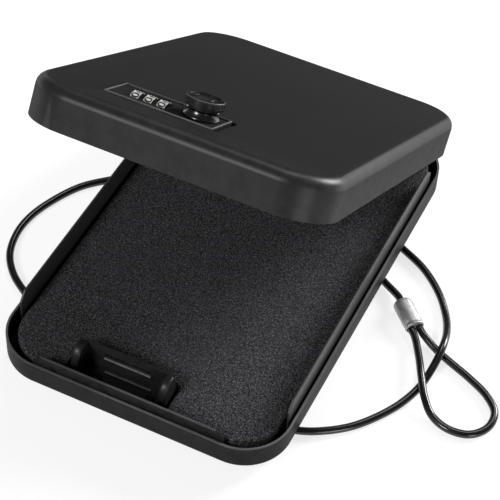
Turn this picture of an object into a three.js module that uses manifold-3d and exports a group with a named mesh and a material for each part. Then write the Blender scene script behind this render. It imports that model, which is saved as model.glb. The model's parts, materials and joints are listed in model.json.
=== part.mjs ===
// A portable car safe: a low steel tray and a deeper lid on two hinges at the back, a combination
// lock with three wheels and a knob in the lid, a foam pad, and a tether cable with an eye.
// Millimetres, +Z up, +X right, the lock at the -Y side. The object stands on z = 0 with its lid ajar.

import * as THREE from 'three';
import { mergeVertices } from 'three/addons/utils/BufferGeometryUtils.js';
import Module from 'manifold-3d';

const wasm = await Module();
wasm.setup();

// Shells
const boxWidth = 160;
const boxLength = 245;
const cornerRadius = 26;
const sheet = 1.2;
const trayDepth = 15;
const trayEdgeRadius = 2.5;
const lidDepth = 21.2;
const lidEdgeRadius = 6;
const partingGap = 0.3;
const openAngle = THREE.MathUtils.degToRad(32.2);
const seatGap = 0.3;
const runningGap = 0.4;
const cornerSteps = 9;
const leastInnerEdge = 0.5;

// How far a cutting shape goes past what it cuts
const past = 1;
const pastThin = 0.1;

// Feet
const footHeight = 6;
const footRadius = 7;
const footInset = 20;
const footStemRadius = 2.6;
const footHeadRadius = 4.2;
const footHeadHeight = 1.2;
const footEdge = 1;

// Hinges
const hingeOffset = 0.6;
const hingeCentreX = 35;
const knuckleRadius = 2.6;
const knuckleLength = 11;
const knuckleCount = 3;
const pinRadius = 1.3;
const leafThickness = 1;
const leafHeight = 9;

// Guard strips
const stripThickness = 1.2;
const stripFlange = 10;
const frontStripRise = 6.5;
const frontStripInset = 1.9;
const frontStripLength = 108;
const sideStripRise = 11;
const sideStripInset = 2.9;
const sideStripLength = 188;
const stripEndSlope = 5;
const stripHeelInset = 2;

// Latch keeper
const keeperCentreX = -9.6;
const keeperInnerWidth = 45;
const keeperWall = 1.2;
const keeperBackInset = 22.6;
const keeperRise = 8;
const keeperFloorDepth = 15.5;
const cheekWall = 4.6;
const cheekRise = 9.4;
const cheekDepth = 13.5;
const cheekShoulder = 6;
const cheekEdge = 1.4;
const cheekSideGap = 1.8;
const keeperSlotRise = 0.4;
const keeperSlotHeight = 2.8;
const keeperSlotLength = 27;
const keeperRibHeight = 1.2;
const keeperRibDepth = 0.8;
const lowerRibDrop = 12;
const keeperRivetRadius = 1.5;
const keeperRivetHeadRadius = 2.8;
const keeperRivetHeadHeight = 0.9;
const keeperRivetCrownRadius = 1.7;
const keeperRivetSpacing = 30;
const keeperRivetInset = 6.7;

// Foam pad
const foamDrop = 1.2;
const foamCorner = 24;
const foamSideClearance = 0.9;
const stopRoomGap = 0.8;
const stopRoomBehind = 3;

// Lock
const lockCentreX = -17;
const lockFrontInset = 21.4;
const plateWidth = 57;
const plateDepth = 26;
const plateThickness = 1.3;
const plateBelowLid = 0.2;
const recessFrontGap = 0.35;
const recessLeftSlope = 2.8;
const recessRightGap = 3;
const wheelCount = 3;
const wheelRadius = 6.5;
const wheelWidth = 4.4;
const wheelPitch = 7;
const wheelCrown = 2.2;
const wheelInset = 33.6;
const middleWheelX = -25.9;
const wheelNumbers = 10;
const wheelNotchDepth = 0.5;
const wheelFaceSteps = 4;
const wheelFaceAngle = THREE.MathUtils.degToRad(28);
const wheelReadAngle = THREE.MathUtils.degToRad(34);
const windowGap = 0.4;
const codeDiscRadius = 2.6;
const codeDiscWidth = 1.2;
const codeGateWidth = 1.2;
const codeGateDepth = 0.8;
const axleRadius = 1;
const axleEnd = 0.9;
const bearingThickness = 1.2;
const bearingReach = 3;
const bearingGap = 0.8;
const caseWall = 1.2;
const caseFlangeThickness = 1.5;
const caseInset = 25.4;
const caseLength = 34.1;
const caseLeftMargin = 1.5;
const caseRightMargin = 3.5;
const caseDepth = 14;
const caseCoverThickness = 1.2;
const caseScrewRadius = 1;
const caseScrewHeadRadius = 1.6;
const caseScrewHeadHeight = 1.2;
const caseScrewInset = 1.9;
const caseScrewBite = 0.8;
const springDrop = 3.6;
const springThickness = 0.5;
const springWidth = 16;
const springNose = 1.2;
const springTail = 2;
const springFoot = 3;
const leverWidth = 4;
const leverThickness = 1.6;
const leverLift = 2.6;
const leverInside = 8;
const leverOutside = 4;
const leverTabHeight = 2.8;

// Knob
const knobX = -0.6;
const knobInset = 36.4;
const collarRadius = 9;
const collarNeckRadius = 7.9;
const collarHeight = 3.8;
const collarLip = 0.6;
const collarSteps = 3;
const knobRadius = 9.6;
const knobNeckRadius = 7.3;
const knobThickness = 4.4;
const knobGap = 1.2;
const knobEdge = 0.4;
const knobDish = 0.9;
const knobRim = 0.8;
const knobTab = [-6.8, -4.4, -1.2, 2.8];
const knobHollow = [4.1, 1.6, 1.7, 4.2];
const knobHollowDepth = 0.7;
const knobSocketDepth = 2.4;
const spindleRadius = 2.8;
const spindleEngagement = 2;
const spindleFit = 0.1;
const clipWidth = 2;
const clipThickness = 0.8;
const clipOpening = 3.2;
const crankRadius = 2.5;
const crankPinRadius = 1.3;
const crankPinOverhang = 0.6;
const crankDiscRadius = 4.6;
const crankDiscThickness = 1.2;
const knobTurn = Math.PI / 2;

// Bolt
const boltThickness = 1.4;
const boltBelowLid = 10.6;
const boltWidth = 15;
const hookWidth = 24;
const toeGap = 1;
const toeLength = 2.9;
const slotSlack = 0.2;
const fenceWidth = 1.6;

// Cable
const cableRadius = 2.1;
const cableSides = 8;
const cableStep = 12.6;
const cableLift = 0.15;
const cableCrossingGap = 0.6;
const ferruleLength = 19;
const ferruleWidth = 10.8;
const ferruleHeight = 9;
const ferruleLegSpacing = 4.8;
const ferruleShoulder = 2;
const ferruleEndScale = 0.78;
const cableLead = 4;
const cableLeadDrop = 0.4;
const grommetHeight = 7.8;
const grommetRadius = 4.2;
const grommetFlangeRadius = 5.2;
const grommetFlange = 1.3;
const stopRadius = 4.2;
const stopLength = 11;

// Derived places
const halfWidth = boxWidth / 2;
const halfLength = boxLength / 2;
const trayBottom = footHeight;
const trayFloor = trayBottom + sheet;
const rim = trayBottom + trayDepth;
const lidTop = rim + partingGap + lidDepth;
const hingeY = halfLength + hingeOffset;
const hingeZ = rim + partingGap / 2;
const foamTop = rim - foamDrop;
const recessDepth = plateBelowLid + plateThickness + seatGap;
const plateFrontY = -halfLength + lockFrontInset;
const plateLeftX = lockCentreX - plateWidth / 2;
const plateRightX = plateLeftX + plateWidth;
const wheelY = -halfLength + wheelInset;
const wheelAxisDrop = wheelRadius - wheelCrown + plateBelowLid;
const knobY = -halfLength + knobInset;
const keeperBackY = -halfLength + keeperBackInset;
const keeperLeftX = keeperCentreX - keeperInnerWidth / 2;
const keeperRightX = keeperCentreX + keeperInnerWidth / 2;
const caseFrontY = -halfLength + caseInset;
const caseBackY = caseFrontY + caseLength;
const caseLeftX = plateLeftX - caseLeftMargin;
const caseRightX = plateRightX + caseRightMargin;
const caseTopDrop = recessDepth + sheet + seatGap;
const caseFloorDrop = caseTopDrop + caseDepth;
const leverZ = lidTop - caseFloorDrop + leverLift - leverThickness / 2;
const knobBase = lidTop - plateBelowLid + seatGap + collarHeight + runningGap;
const crankLevel = lidTop - boltBelowLid + runningGap;
const crankRest = -knobTurn / 2;
const boltTravel = 2 * crankRadius * Math.sin(knobTurn / 2);
const cableGround = cableRadius + cableLift;
const cableHump = cableGround + 2 * cableRadius + cableCrossingGap;
const cableHole = trayBottom + grommetHeight;
const cableInnerY = halfLength - sheet - 2 * seatGap - grommetFlange;

const finish = (color, roughness, metalness = 0) =>
  new THREE.MeshStandardMaterial({ color, roughness, metalness });
const paint = finish(0x232325, 0.55, 0.2);
const stripPaint = finish(0x3a3a3c, 0.5, 0.2);
const foam = finish(0x3c3c3f, 0.95);
const plastic = finish(0x1c1c1e, 0.4);
const glossPlastic = finish(0x101012, 0.15);
const numberPlastic = finish(0xd6d6d0, 0.45);
const rubber = finish(0x161617, 0.8);
const vinyl = finish(0x141416, 0.35);
const steel = finish(0x9a9ca0, 0.35, 1);
const springSteel = finish(0x8a8c90, 0.3, 1);
const aluminium = finish(0xb4b6b8, 0.4, 1);

// Closed three.js geometry to a solid that can be joined and cut
function solid(geometry) {
  const bare = (geometry.index ? geometry.toNonIndexed() : geometry).clone();
  bare.deleteAttribute('normal');
  bare.deleteAttribute('uv');
  const merged = mergeVertices(bare, 1e-4);
  return new wasm.Manifold(new wasm.Mesh({
    numProp: 3,
    vertProperties: new Float32Array(merged.attributes.position.array),
    triVerts: new Uint32Array(merged.index.array),
  }));
}

function toGeometry(body) {
  const mesh = body.getMesh();
  const geometry = new THREE.BufferGeometry();
  geometry.setAttribute('position', new THREE.BufferAttribute(new Float32Array(mesh.vertProperties), 3));
  geometry.setIndex(new THREE.BufferAttribute(new Uint32Array(mesh.triVerts), 1));
  geometry.computeVertexNormals();
  return geometry;
}

function join(...bodies) {
  return bodies.reduce((sum, body) => sum.add(body));
}

function cut(body, ...tools) {
  return tools.reduce((rest, tool) => rest.subtract(tool), body);
}

// Box from its two corners
function block(x0, x1, y0, y1, z0, z1) {
  const geometry = new THREE.BoxGeometry(x1 - x0, y1 - y0, z1 - z0);
  geometry.translate((x0 + x1) / 2, (y0 + y1) / 2, (z0 + z1) / 2);
  return solid(geometry);
}

// Round bar along an axis, from start to end
function bar(axis, radius, start, end, centre, sides = 24) {
  const geometry = new THREE.CylinderGeometry(radius, radius, end - start, sides);
  if (axis === 'x') geometry.rotateZ(-Math.PI / 2);
  if (axis === 'z') geometry.rotateX(Math.PI / 2);
  const middle = (start + end) / 2;
  const [a, b] = centre;
  if (axis === 'x') geometry.translate(middle, a, b);
  if (axis === 'y') geometry.translate(a, middle, b);
  if (axis === 'z') geometry.translate(a, b, middle);
  return solid(geometry);
}

// Turned piece about the vertical line through (x, y), from pairs of radius and height
function turned(profile, x, y, sides = 36) {
  const geometry = new THREE.LatheGeometry(profile.map(([r, z]) => new THREE.Vector2(r, z)), sides);
  geometry.rotateX(Math.PI / 2);
  geometry.translate(x, y, 0);
  return solid(geometry);
}

// Outline drawn in the Y-Z plane and drawn out along X
function acrossX(outline, x0, x1) {
  const geometry = new THREE.ExtrudeGeometry(outline, {
    depth: x1 - x0, bevelEnabled: false, curveSegments: cornerSteps,
  });
  geometry.rotateZ(Math.PI / 2);
  geometry.rotateY(Math.PI / 2);
  geometry.translate(x0, 0, 0);
  return solid(geometry);
}

// The same with its edges rounded
function softAcrossX(outline, x0, x1, edge) {
  const geometry = new THREE.ExtrudeGeometry(outline, {
    depth: x1 - x0 - 2 * edge, bevelEnabled: true, bevelSize: edge, bevelThickness: edge,
    bevelOffset: -edge, bevelSegments: 3, curveSegments: cornerSteps,
  });
  geometry.rotateZ(Math.PI / 2);
  geometry.rotateY(Math.PI / 2);
  geometry.translate(x0 + edge, 0, 0);
  return solid(geometry);
}

// Outline drawn in the X-Y plane and drawn up along Z
function upwards(outline, z0, z1) {
  const geometry = new THREE.ExtrudeGeometry(outline, {
    depth: z1 - z0, bevelEnabled: false, curveSegments: cornerSteps,
  });
  geometry.translate(0, 0, z0);
  return solid(geometry);
}

function roundedRect(width, length, radius) {
  const x = width / 2;
  const y = length / 2;
  const outline = new THREE.Shape();
  outline.moveTo(x - radius, -y);
  outline.absarc(x - radius, -y + radius, radius, -Math.PI / 2, 0);
  outline.absarc(x - radius, y - radius, radius, 0, Math.PI / 2);
  outline.absarc(-x + radius, y - radius, radius, Math.PI / 2, Math.PI);
  outline.absarc(-x + radius, -y + radius, radius, Math.PI, Math.PI * 1.5);
  return outline;
}

// Block with round plan corners whose lower edge is rounded, its flat bottom at z = 0
function softBlock(width, length, corner, edge, height, edgeSteps) {
  const outline = roundedRect(width - 2 * edge, length - 2 * edge, corner - edge);
  const geometry = new THREE.ExtrudeGeometry(outline, {
    depth: height, bevelEnabled: true, bevelSize: edge, bevelThickness: edge,
    bevelSegments: edgeSteps, curveSegments: cornerSteps,
  });
  geometry.translate(0, 0, edge);
  const above = block(-width, width, -length, length, height, height + 2 * edge + past);
  return cut(solid(geometry), above);
}

// Open shell of sheet metal, open upwards, its outer bottom at z = 0
function shell(depth, edge, edgeSteps) {
  const outer = softBlock(boxWidth, boxLength, cornerRadius, edge, depth, edgeSteps);
  const innerEdge = Math.max(edge - sheet, leastInnerEdge);
  const inner = softBlock(boxWidth - 2 * sheet, boxLength - 2 * sheet, cornerRadius - sheet,
    innerEdge, depth + past, edgeSteps);
  return cut(outer, inner.translate([0, 0, sheet]));
}

const group = new THREE.Group();
const trayGroup = new THREE.Group();
const lidGroup = new THREE.Group();
group.add(trayGroup, lidGroup);
lidGroup.position.set(0, hingeY, hingeZ);
lidGroup.rotation.x = -openAngle;

function add(parent, name, body, material) {
  const mesh = new THREE.Mesh(toGeometry(body), material);
  mesh.name = name;
  parent.add(mesh);
  return mesh;
}

// Lid pieces are drawn with the lid shut, then moved so that the hinge axis is their origin
function addToLid(name, body, material) {
  return add(lidGroup, name, body.translate([0, -hingeY, -hingeZ]), material);
}

// Height of a level that lies so far under the lid's outer face, with the lid shut
const belowLid = (drop) => lidTop - drop;

const footPlaces = [
  [-halfWidth + footInset, -halfLength + footInset],
  [halfWidth - footInset, -halfLength + footInset],
  [-halfWidth + footInset, halfLength - footInset],
  [halfWidth - footInset, halfLength - footInset],
];
const hingeCentres = [-hingeCentreX, hingeCentreX];
const hingeHalf = (knuckleCount * knuckleLength) / 2;
const rivetPlaces = [keeperCentreX - keeperRivetSpacing / 2, keeperCentreX + keeperRivetSpacing / 2];
const rivetY = keeperBackY - keeperRivetInset;

function hingeNotch(centreX, z0, z1) {
  const half = hingeHalf + runningGap;
  return block(centreX - half, centreX + half, halfLength - sheet - past, halfLength + past,
    z0, z1);
}

// Lower shell with its openings for the hinges, the feet, the rivets and the cable
function trayShell() {
  let body = shell(trayDepth, trayEdgeRadius, 3).translate([0, 0, trayBottom]);
  const notchBottom = hingeZ - knuckleRadius - seatGap;
  for (const x of hingeCentres) body = cut(body, hingeNotch(x, notchBottom, rim + past));
  for (const [x, y] of footPlaces) {
    body = cut(body, bar('z', footStemRadius + seatGap, trayBottom - past, trayFloor + past,
      [x, y], 16));
  }
  for (const x of rivetPlaces) {
    body = cut(body, bar('z', keeperRivetRadius + seatGap, trayBottom - past, trayFloor + past,
      [x, rivetY], 12));
  }
  const cableOpening = bar('y', grommetRadius + seatGap, halfLength - sheet - past, halfLength + past,
    [0, cableHole], 20);
  return cut(body, cableOpening);
}

// Upright strip with a foot flange on the tray floor, drawn along X with its outer face at y = 0
function guardStrip(length, rise) {
  const z0 = trayFloor + seatGap;
  const z1 = rim + rise;
  const half = length / 2;
  const side = new THREE.Shape();
  side.moveTo(-half + stripHeelInset, z0);
  side.lineTo(half - stripHeelInset, z0);
  side.lineTo(half, z0 + stripEndSlope);
  side.lineTo(half, z1 - stripEndSlope);
  side.lineTo(half - stripEndSlope, z1);
  side.lineTo(-half + stripEndSlope, z1);
  side.lineTo(-half, z1 - stripEndSlope);
  side.lineTo(-half, z0 + stripEndSlope);
  side.closePath();
  const geometry = new THREE.ExtrudeGeometry(side, { depth: stripThickness, bevelEnabled: false });
  geometry.rotateX(Math.PI / 2);
  geometry.translate(0, stripThickness, 0);
  const flange = block(-half + stripEndSlope, half - stripEndSlope, stripThickness / 2, stripFlange,
    z0, z0 + stripThickness);
  return join(solid(geometry), flange);
}

// The front strip has room for the keeper in its flange
function frontStrip() {
  const y0 = -halfLength + frontStripInset;
  const strip = guardStrip(frontStripLength, frontStripRise).translate([0, y0, 0]);
  const half = keeperInnerWidth / 2 + cheekWall + seatGap;
  const room = block(keeperCentreX - half, keeperCentreX + half, y0 + stripThickness, keeperBackY,
    trayFloor, trayFloor + 2 * seatGap + stripThickness);
  return cut(strip, room);
}

function sideStrip(side) {
  const strip = guardStrip(sideStripLength, sideStripRise);
  return strip.rotate([0, 0, side * 90]).translate([side * (halfWidth - sideStripInset), 0, 0]);
}

// Cheek of the keeper: an upright D-shaped plate with round edges
function keeperCheek(x0, x1) {
  const backY = keeperBackY;
  const frontY = backY - cheekDepth;
  const top = rim + cheekRise;
  const side = new THREE.Shape();
  side.moveTo(backY, trayFloor + seatGap);
  side.lineTo(backY, top - cheekShoulder);
  side.bezierCurveTo(backY, top, backY - cheekShoulder / 2, top, backY - cheekShoulder, top);
  side.bezierCurveTo(frontY + cheekShoulder / 2, top, frontY, top - cheekShoulder,
    frontY, top - cheekDepth);
  side.lineTo(frontY, trayFloor + seatGap);
  side.closePath();
  return softAcrossX(side, x0, x1, cheekEdge);
}

// Keeper: a floor, a back wall with the slot for the bolt's toe, two ribs and two cheeks
function latchKeeper() {
  const into = cheekEdge;
  const z0 = trayFloor + seatGap;
  const wallFrontY = keeperBackY - keeperWall;
  const slotBottom = rim + keeperSlotRise;
  const slotHalf = keeperSlotLength / 2;
  const floor = block(keeperLeftX - into, keeperRightX + into, keeperBackY - keeperFloorDepth,
    keeperBackY, z0, z0 + keeperWall);
  const wall = block(keeperLeftX - into, keeperRightX + into, wallFrontY, keeperBackY,
    z0, rim + keeperRise);
  const slot = block(keeperCentreX - slotHalf, keeperCentreX + slotHalf,
    wallFrontY - past, keeperBackY + past, slotBottom, slotBottom + keeperSlotHeight);
  const ribs = [slotBottom, rim - lowerRibDrop + keeperRibHeight].map((top) => block(
    keeperCentreX - slotHalf, keeperCentreX + slotHalf, wallFrontY - keeperRibDepth,
    keeperBackY - keeperWall / 2, top - keeperRibHeight, top));
  let body = join(cut(join(floor, wall), slot), ...ribs,
    keeperCheek(keeperLeftX - cheekWall, keeperLeftX),
    keeperCheek(keeperRightX, keeperRightX + cheekWall));
  for (const x of rivetPlaces) {
    const hole = bar('z', keeperRivetRadius + seatGap, trayFloor, z0 + keeperWall + past,
      [x, rivetY], 12);
    body = cut(body, hole);
  }
  return body;
}

function keeperRivet(x) {
  const top = trayFloor + seatGap + keeperWall + seatGap;
  const low = trayBottom - seatGap;
  return turned([
    [0, low - keeperRivetHeadHeight],
    [keeperRivetCrownRadius, low - keeperRivetHeadHeight],
    [keeperRivetHeadRadius, low],
    [keeperRivetRadius, low],
    [keeperRivetRadius, top],
    [keeperRivetHeadRadius, top],
    [keeperRivetCrownRadius, top + keeperRivetHeadHeight],
    [0, top + keeperRivetHeadHeight],
  ], x, rivetY, 12);
}

// Foam pad on the strips' flanges, cut out round the keeper and over the cable's stop
function foamPad() {
  const side = sideStripInset + stripThickness + foamSideClearance;
  const front = frontStripInset + stripThickness + foamSideClearance;
  const back = sheet + seatGap + leafThickness + foamSideClearance;
  const z0 = trayFloor + seatGap + stripThickness + seatGap;
  const outline = roundedRect(boxWidth - 2 * side, boxLength - front - back, foamCorner);
  const pad = upwards(outline, z0, foamTop).translate([0, (front - back) / 2, 0]);
  const half = keeperInnerWidth / 2 + cheekWall + cheekSideGap;
  const keeperRoom = block(keeperCentreX - half, keeperCentreX + half, -halfLength,
    keeperBackY + foamSideClearance, z0 - past, foamTop + past);
  const stopHalf = stopRadius + stopRoomGap;
  const stopRoom = block(-stopHalf, stopHalf, cableInnerY - stopLength - stopRoomBehind, halfLength,
    z0 - past, cableHole + stopRadius + stopRoomGap);
  return cut(pad, keeperRoom, stopRoom);
}

// Rubber foot pushed through the tray floor, held by the head on its stem
function foot(x, y) {
  const headBottom = trayFloor + seatGap;
  return turned([
    [0, 0],
    [footRadius - footEdge, 0],
    [footRadius, footEdge],
    [footRadius, footHeight - seatGap],
    [footStemRadius, footHeight - seatGap],
    [footStemRadius, headBottom],
    [footHeadRadius, headBottom],
    [footHeadRadius - footEdge, headBottom + footHeadHeight],
    [0, headBottom + footHeadHeight],
  ], x, y, 24);
}

// Hinge leaf: a plate inside the back wall with every second knuckle round the pin
function hingeLeaf(centreX, side) {
  const faceY = halfLength - sheet - seatGap;
  const plateFar = hingeZ + side * leafHeight;
  const plateNear = hingeZ + side * (knuckleRadius + 2 * seatGap);
  const plate = block(centreX - hingeHalf, centreX + hingeHalf, faceY - leafThickness, faceY,
    Math.min(plateFar, plateNear), Math.max(plateFar, plateNear));
  let body = plate;
  for (let i = 0; i < knuckleCount; i += 1) {
    const onTray = i % 2 === 0;
    if (onTray === (side < 0)) {
      const x0 = centreX - hingeHalf + i * knuckleLength + seatGap / 2;
      const x1 = x0 + knuckleLength - seatGap;
      const barrel = bar('x', knuckleRadius, x0, x1, [hingeY, hingeZ], 20);
      const neckEnd = hingeZ + side * (knuckleRadius + leafThickness);
      const neck = block(x0, x1, faceY - leafThickness, faceY,
        Math.min(hingeZ, neckEnd), Math.max(hingeZ, neckEnd));
      body = join(body, barrel, neck);
    }
  }
  const bore = bar('x', pinRadius + seatGap, centreX - hingeHalf - past, centreX + hingeHalf + past,
    [hingeY, hingeZ], 16);
  return cut(body, bore);
}

function hingePin(centreX) {
  const half = hingeHalf;
  return bar('x', pinRadius, centreX - half, centreX + half, [hingeY, hingeZ], 16);
}

// Upper shell with a pressed recess for the lock, sloped at its left end
function lidShell() {
  let body = shell(lidDepth, lidEdgeRadius, 5).rotate([180, 0, 0]).translate([0, 0, lidTop]);
  const notchTop = hingeZ + knuckleRadius + seatGap;
  for (const x of hingeCentres) body = cut(body, hingeNotch(x, rim - past, notchTop));
  const x0 = plateLeftX - recessFrontGap;
  const x1 = plateRightX + recessRightGap;
  const y0 = plateFrontY - recessFrontGap;
  const y1 = plateFrontY + plateDepth + recessFrontGap;
  const tub = block(x0 - recessLeftSlope, x1 + sheet, y0 - sheet, y1 + sheet,
    belowLid(recessDepth + sheet), belowLid(sheet / 2));
  const hollow = block(x0, x1, y0, y1, belowLid(recessDepth), lidTop + past);
  const slope = new THREE.Shape();
  slope.moveTo(x0 - recessLeftSlope, 0);
  slope.lineTo(x0 + past, -recessDepth * (1 + past / recessLeftSlope));
  slope.lineTo(x0 + past, past);
  slope.lineTo(x0 - recessLeftSlope, past);
  slope.closePath();
  const ramp = new THREE.ExtrudeGeometry(slope, { depth: y1 - y0, bevelEnabled: false });
  ramp.rotateX(Math.PI / 2);
  ramp.translate(0, y1, lidTop);
  body = cut(join(body, tub), hollow, solid(ramp));
  const axleRoom = bearingGap + bearingThickness + axleEnd;
  return cut(body, ...lockOpenings(recessDepth, recessDepth + sheet, axleRoom));
}

// Openings through a sheet between two levels under the lid's face: wheels, spindle and screws.
// The side room is what the opening for the wheels has beyond them at both ends.
function lockOpenings(upperDrop, lowerDrop, sideRoom) {
  const z0 = belowLid(lowerDrop + pastThin);
  const z1 = belowLid(upperDrop - pastThin);
  const left = wheelX(0) - wheelWidth / 2 - windowGap - sideRoom;
  const right = wheelX(wheelCount - 1) + wheelWidth / 2 + seatGap + codeDiscWidth + windowGap + sideRoom;
  const reach = wheelHalfChord(lowerDrop) + windowGap;
  const wheels = block(left, right, wheelY - reach, wheelY + reach, z0, z1);
  const spindle = bar('z', spindleRadius + runningGap, z0, z1, [knobX, knobY], 20);
  const screws = caseScrewPlaces().map((place) => bar('z', caseScrewRadius + seatGap, z0, z1, place, 12));
  return [wheels, spindle, ...screws];
}

// Half the length of a wheel's cut at so far under the lid's outer face
function wheelHalfChord(drop) {
  return Math.sqrt(wheelRadius ** 2 - Math.max(wheelAxisDrop - drop, 0) ** 2);
}

function caseScrewPlaces() {
  const left = plateLeftX + caseScrewInset;
  const right = plateRightX - caseScrewInset;
  const front = plateFrontY + caseScrewInset;
  const back = plateFrontY + plateDepth - caseScrewInset;
  return [[left, front], [right, front], [left, back], [right, back]];
}

function wheelX(index) {
  return middleWheelX + (index - 1) * wheelPitch;
}

// Face of the lock, with a window for each wheel and blind holes for the screws
function lockPlate() {
  const top = belowLid(plateBelowLid);
  const bottom = top - plateThickness;
  const halfWindow = wheelWidth / 2 + windowGap;
  let body = block(plateLeftX, plateRightX, plateFrontY, plateFrontY + plateDepth, bottom, top);
  for (let i = 0; i < wheelCount; i += 1) {
    body = cut(body, bar('x', wheelRadius + windowGap, wheelX(i) - halfWindow, wheelX(i) + halfWindow,
      [wheelY, belowLid(wheelAxisDrop)], 48));
  }
  const holes = caseScrewPlaces().map((place) => bar(
    'z', caseScrewRadius + seatGap, bottom - past, bottom + caseScrewBite, place, 12));
  const spindle = bar('z', spindleRadius + runningGap, bottom - past, top + past,
    [knobX, knobY], 20);
  return cut(body, spindle, ...holes);
}

// Housing of the lock: an open box under the recess, with a flange that the screws pass
function lockCase() {
  const top = belowLid(caseTopDrop);
  const bottom = belowLid(caseFloorDrop);
  const flangeBottom = top - caseFlangeThickness;
  const flange = block(caseLeftX, caseRightX, plateFrontY, caseBackY, flangeBottom, top);
  const walls = block(caseLeftX, caseRightX, caseFrontY, caseBackY, bottom, top);
  const room = block(caseLeftX + caseWall, caseRightX - caseWall, caseFrontY + caseWall,
    caseBackY - caseWall, bottom - past, flangeBottom);
  const boltTop = belowLid(boltBelowLid);
  const boltHalf = boltWidth / 2 + runningGap;
  const boltSlot = block(knobX - boltHalf, knobX + boltHalf,
    caseFrontY - past, caseFrontY + caseWall + past,
    boltTop - boltThickness - runningGap, boltTop + runningGap);
  const leverHalf = leverWidth / 2 + runningGap;
  const leverSlot = block(middleWheelX - leverHalf, middleWheelX + leverHalf,
    caseBackY - caseWall - past, caseBackY + past, leverZ - runningGap, leverZ + leverThickness + runningGap);
  const body = cut(join(flange, walls), room, boltSlot, leverSlot,
    ...lockOpenings(caseTopDrop, caseTopDrop + caseFlangeThickness, 0));
  const bearings = axleBearings().map((x) => block(x - bearingThickness / 2, x + bearingThickness / 2,
    wheelY - bearingReach, wheelY + bearingReach,
    belowLid(wheelAxisDrop) - bearingReach, belowLid(recessDepth)));
  const bore = bar('x', axleRadius + spindleFit, caseLeftX + caseWall, knobX,
    [wheelY, belowLid(wheelAxisDrop)], 16);
  return cut(join(body, ...bearings), bore);
}

// Middles of the two bearing ribs of the wheel axle
function axleBearings() {
  const wheels = wheelPitch + wheelWidth / 2 + bearingGap + bearingThickness / 2;
  return [middleWheelX - wheels, middleWheelX + wheels + codeDiscWidth + seatGap];
}

// Lever that frees the wheels from their code discs, so that a new code can be set
function codeResetLever() {
  const x0 = middleWheelX - leverWidth / 2;
  const x1 = middleWheelX + leverWidth / 2;
  const arm = block(x0, x1, caseBackY - leverInside, caseBackY + leverOutside,
    leverZ, leverZ + leverThickness);
  const tab = block(x0, x1, caseBackY + leverOutside - leverThickness, caseBackY + leverOutside,
    leverZ, leverZ + leverTabHeight);
  return join(arm, tab);
}

function caseCover() {
  const top = belowLid(caseFloorDrop) - seatGap;
  return block(caseLeftX, caseRightX, caseFrontY, caseBackY, top - caseCoverThickness, top);
}

// Screw put in from inside, through the case and the lid into the lock's face
function caseScrew(x, y) {
  const headTop = belowLid(caseTopDrop + caseFlangeThickness) - seatGap;
  const tip = belowLid(plateBelowLid + plateThickness) + caseScrewBite - seatGap;
  return turned([
    [0, headTop - caseScrewHeadHeight],
    [caseScrewHeadRadius, headTop - caseScrewHeadHeight],
    [caseScrewHeadRadius, headTop],
    [caseScrewRadius, headTop],
    [caseScrewRadius, tip],
    [0, tip],
  ], x, y, 12);
}

function dialAxle() {
  const [left, right] = axleBearings();
  const reach = bearingThickness / 2 + axleEnd;
  return bar('x', axleRadius, left - reach, right + reach, [wheelY, belowLid(wheelAxisDrop)], 16);
}

// Number wheel: a short drum with a round face for each number and a notch between them
function dialWheel(index) {
  const points = [];
  const addPoint = (radius, angle) => {
    points.push(new THREE.Vector2(radius * Math.cos(angle), radius * Math.sin(angle)));
  };
  for (let i = 0; i < wheelNumbers; i += 1) {
    const middle = Math.PI / 2 + wheelReadAngle + (i * 2 * Math.PI) / wheelNumbers;
    for (let j = 0; j <= wheelFaceSteps; j += 1) {
      addPoint(wheelRadius, middle + wheelFaceAngle * (j / wheelFaceSteps - 0.5));
    }
    addPoint(wheelRadius - wheelNotchDepth, middle + Math.PI / wheelNumbers);
  }
  const drum = acrossX(new THREE.Shape(points), -wheelWidth / 2, wheelWidth / 2);
  const bore = bar('x', axleRadius + runningGap, -wheelWidth, wheelWidth, [0, 0], 16);
  return cut(drum, bore).translate([wheelX(index), wheelY, belowLid(wheelAxisDrop)]);
}

// Code disc beside its wheel: a thin disc with one gate in its rim
function codeDisc(index) {
  const x0 = wheelWidth / 2 + seatGap;
  const disc = bar('x', codeDiscRadius, x0, x0 + codeDiscWidth, [0, 0], 24);
  const bore = bar('x', axleRadius + runningGap, 0, x0 + codeDiscWidth + past, [0, 0], 16);
  const gate = block(0, x0 + codeDiscWidth + past, -codeDiscRadius - past,
    -codeDiscRadius + codeGateDepth, -codeGateWidth / 2, codeGateWidth / 2);
  return cut(disc, bore, gate).translate([wheelX(index), wheelY, belowLid(wheelAxisDrop)]);
}

// Click spring: a bent strip of steel behind the wheels, its nose beside their notches
function detentSpring() {
  const nose = wheelY + Math.sqrt(wheelRadius ** 2 - springDrop ** 2) + runningGap;
  const front = nose + springNose;
  const back = front + springThickness;
  const top = belowLid(caseTopDrop + caseFlangeThickness) - seatGap;
  const level = belowLid(wheelAxisDrop + springDrop);
  const outline = new THREE.Shape();
  outline.moveTo(front + springFoot, top);
  outline.lineTo(front, top);
  outline.lineTo(front, level + springNose);
  outline.lineTo(nose, level);
  outline.lineTo(front, level - springNose);
  outline.lineTo(front, level - springTail);
  outline.lineTo(back, level - springTail);
  outline.lineTo(back, level - springNose);
  outline.lineTo(nose + springThickness, level);
  outline.lineTo(back, level + springNose);
  outline.lineTo(back, top - springThickness);
  outline.lineTo(front + springFoot, top - springThickness);
  outline.closePath();
  return acrossX(outline, middleWheelX - springWidth / 2, middleWheelX + springWidth / 2);
}

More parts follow.
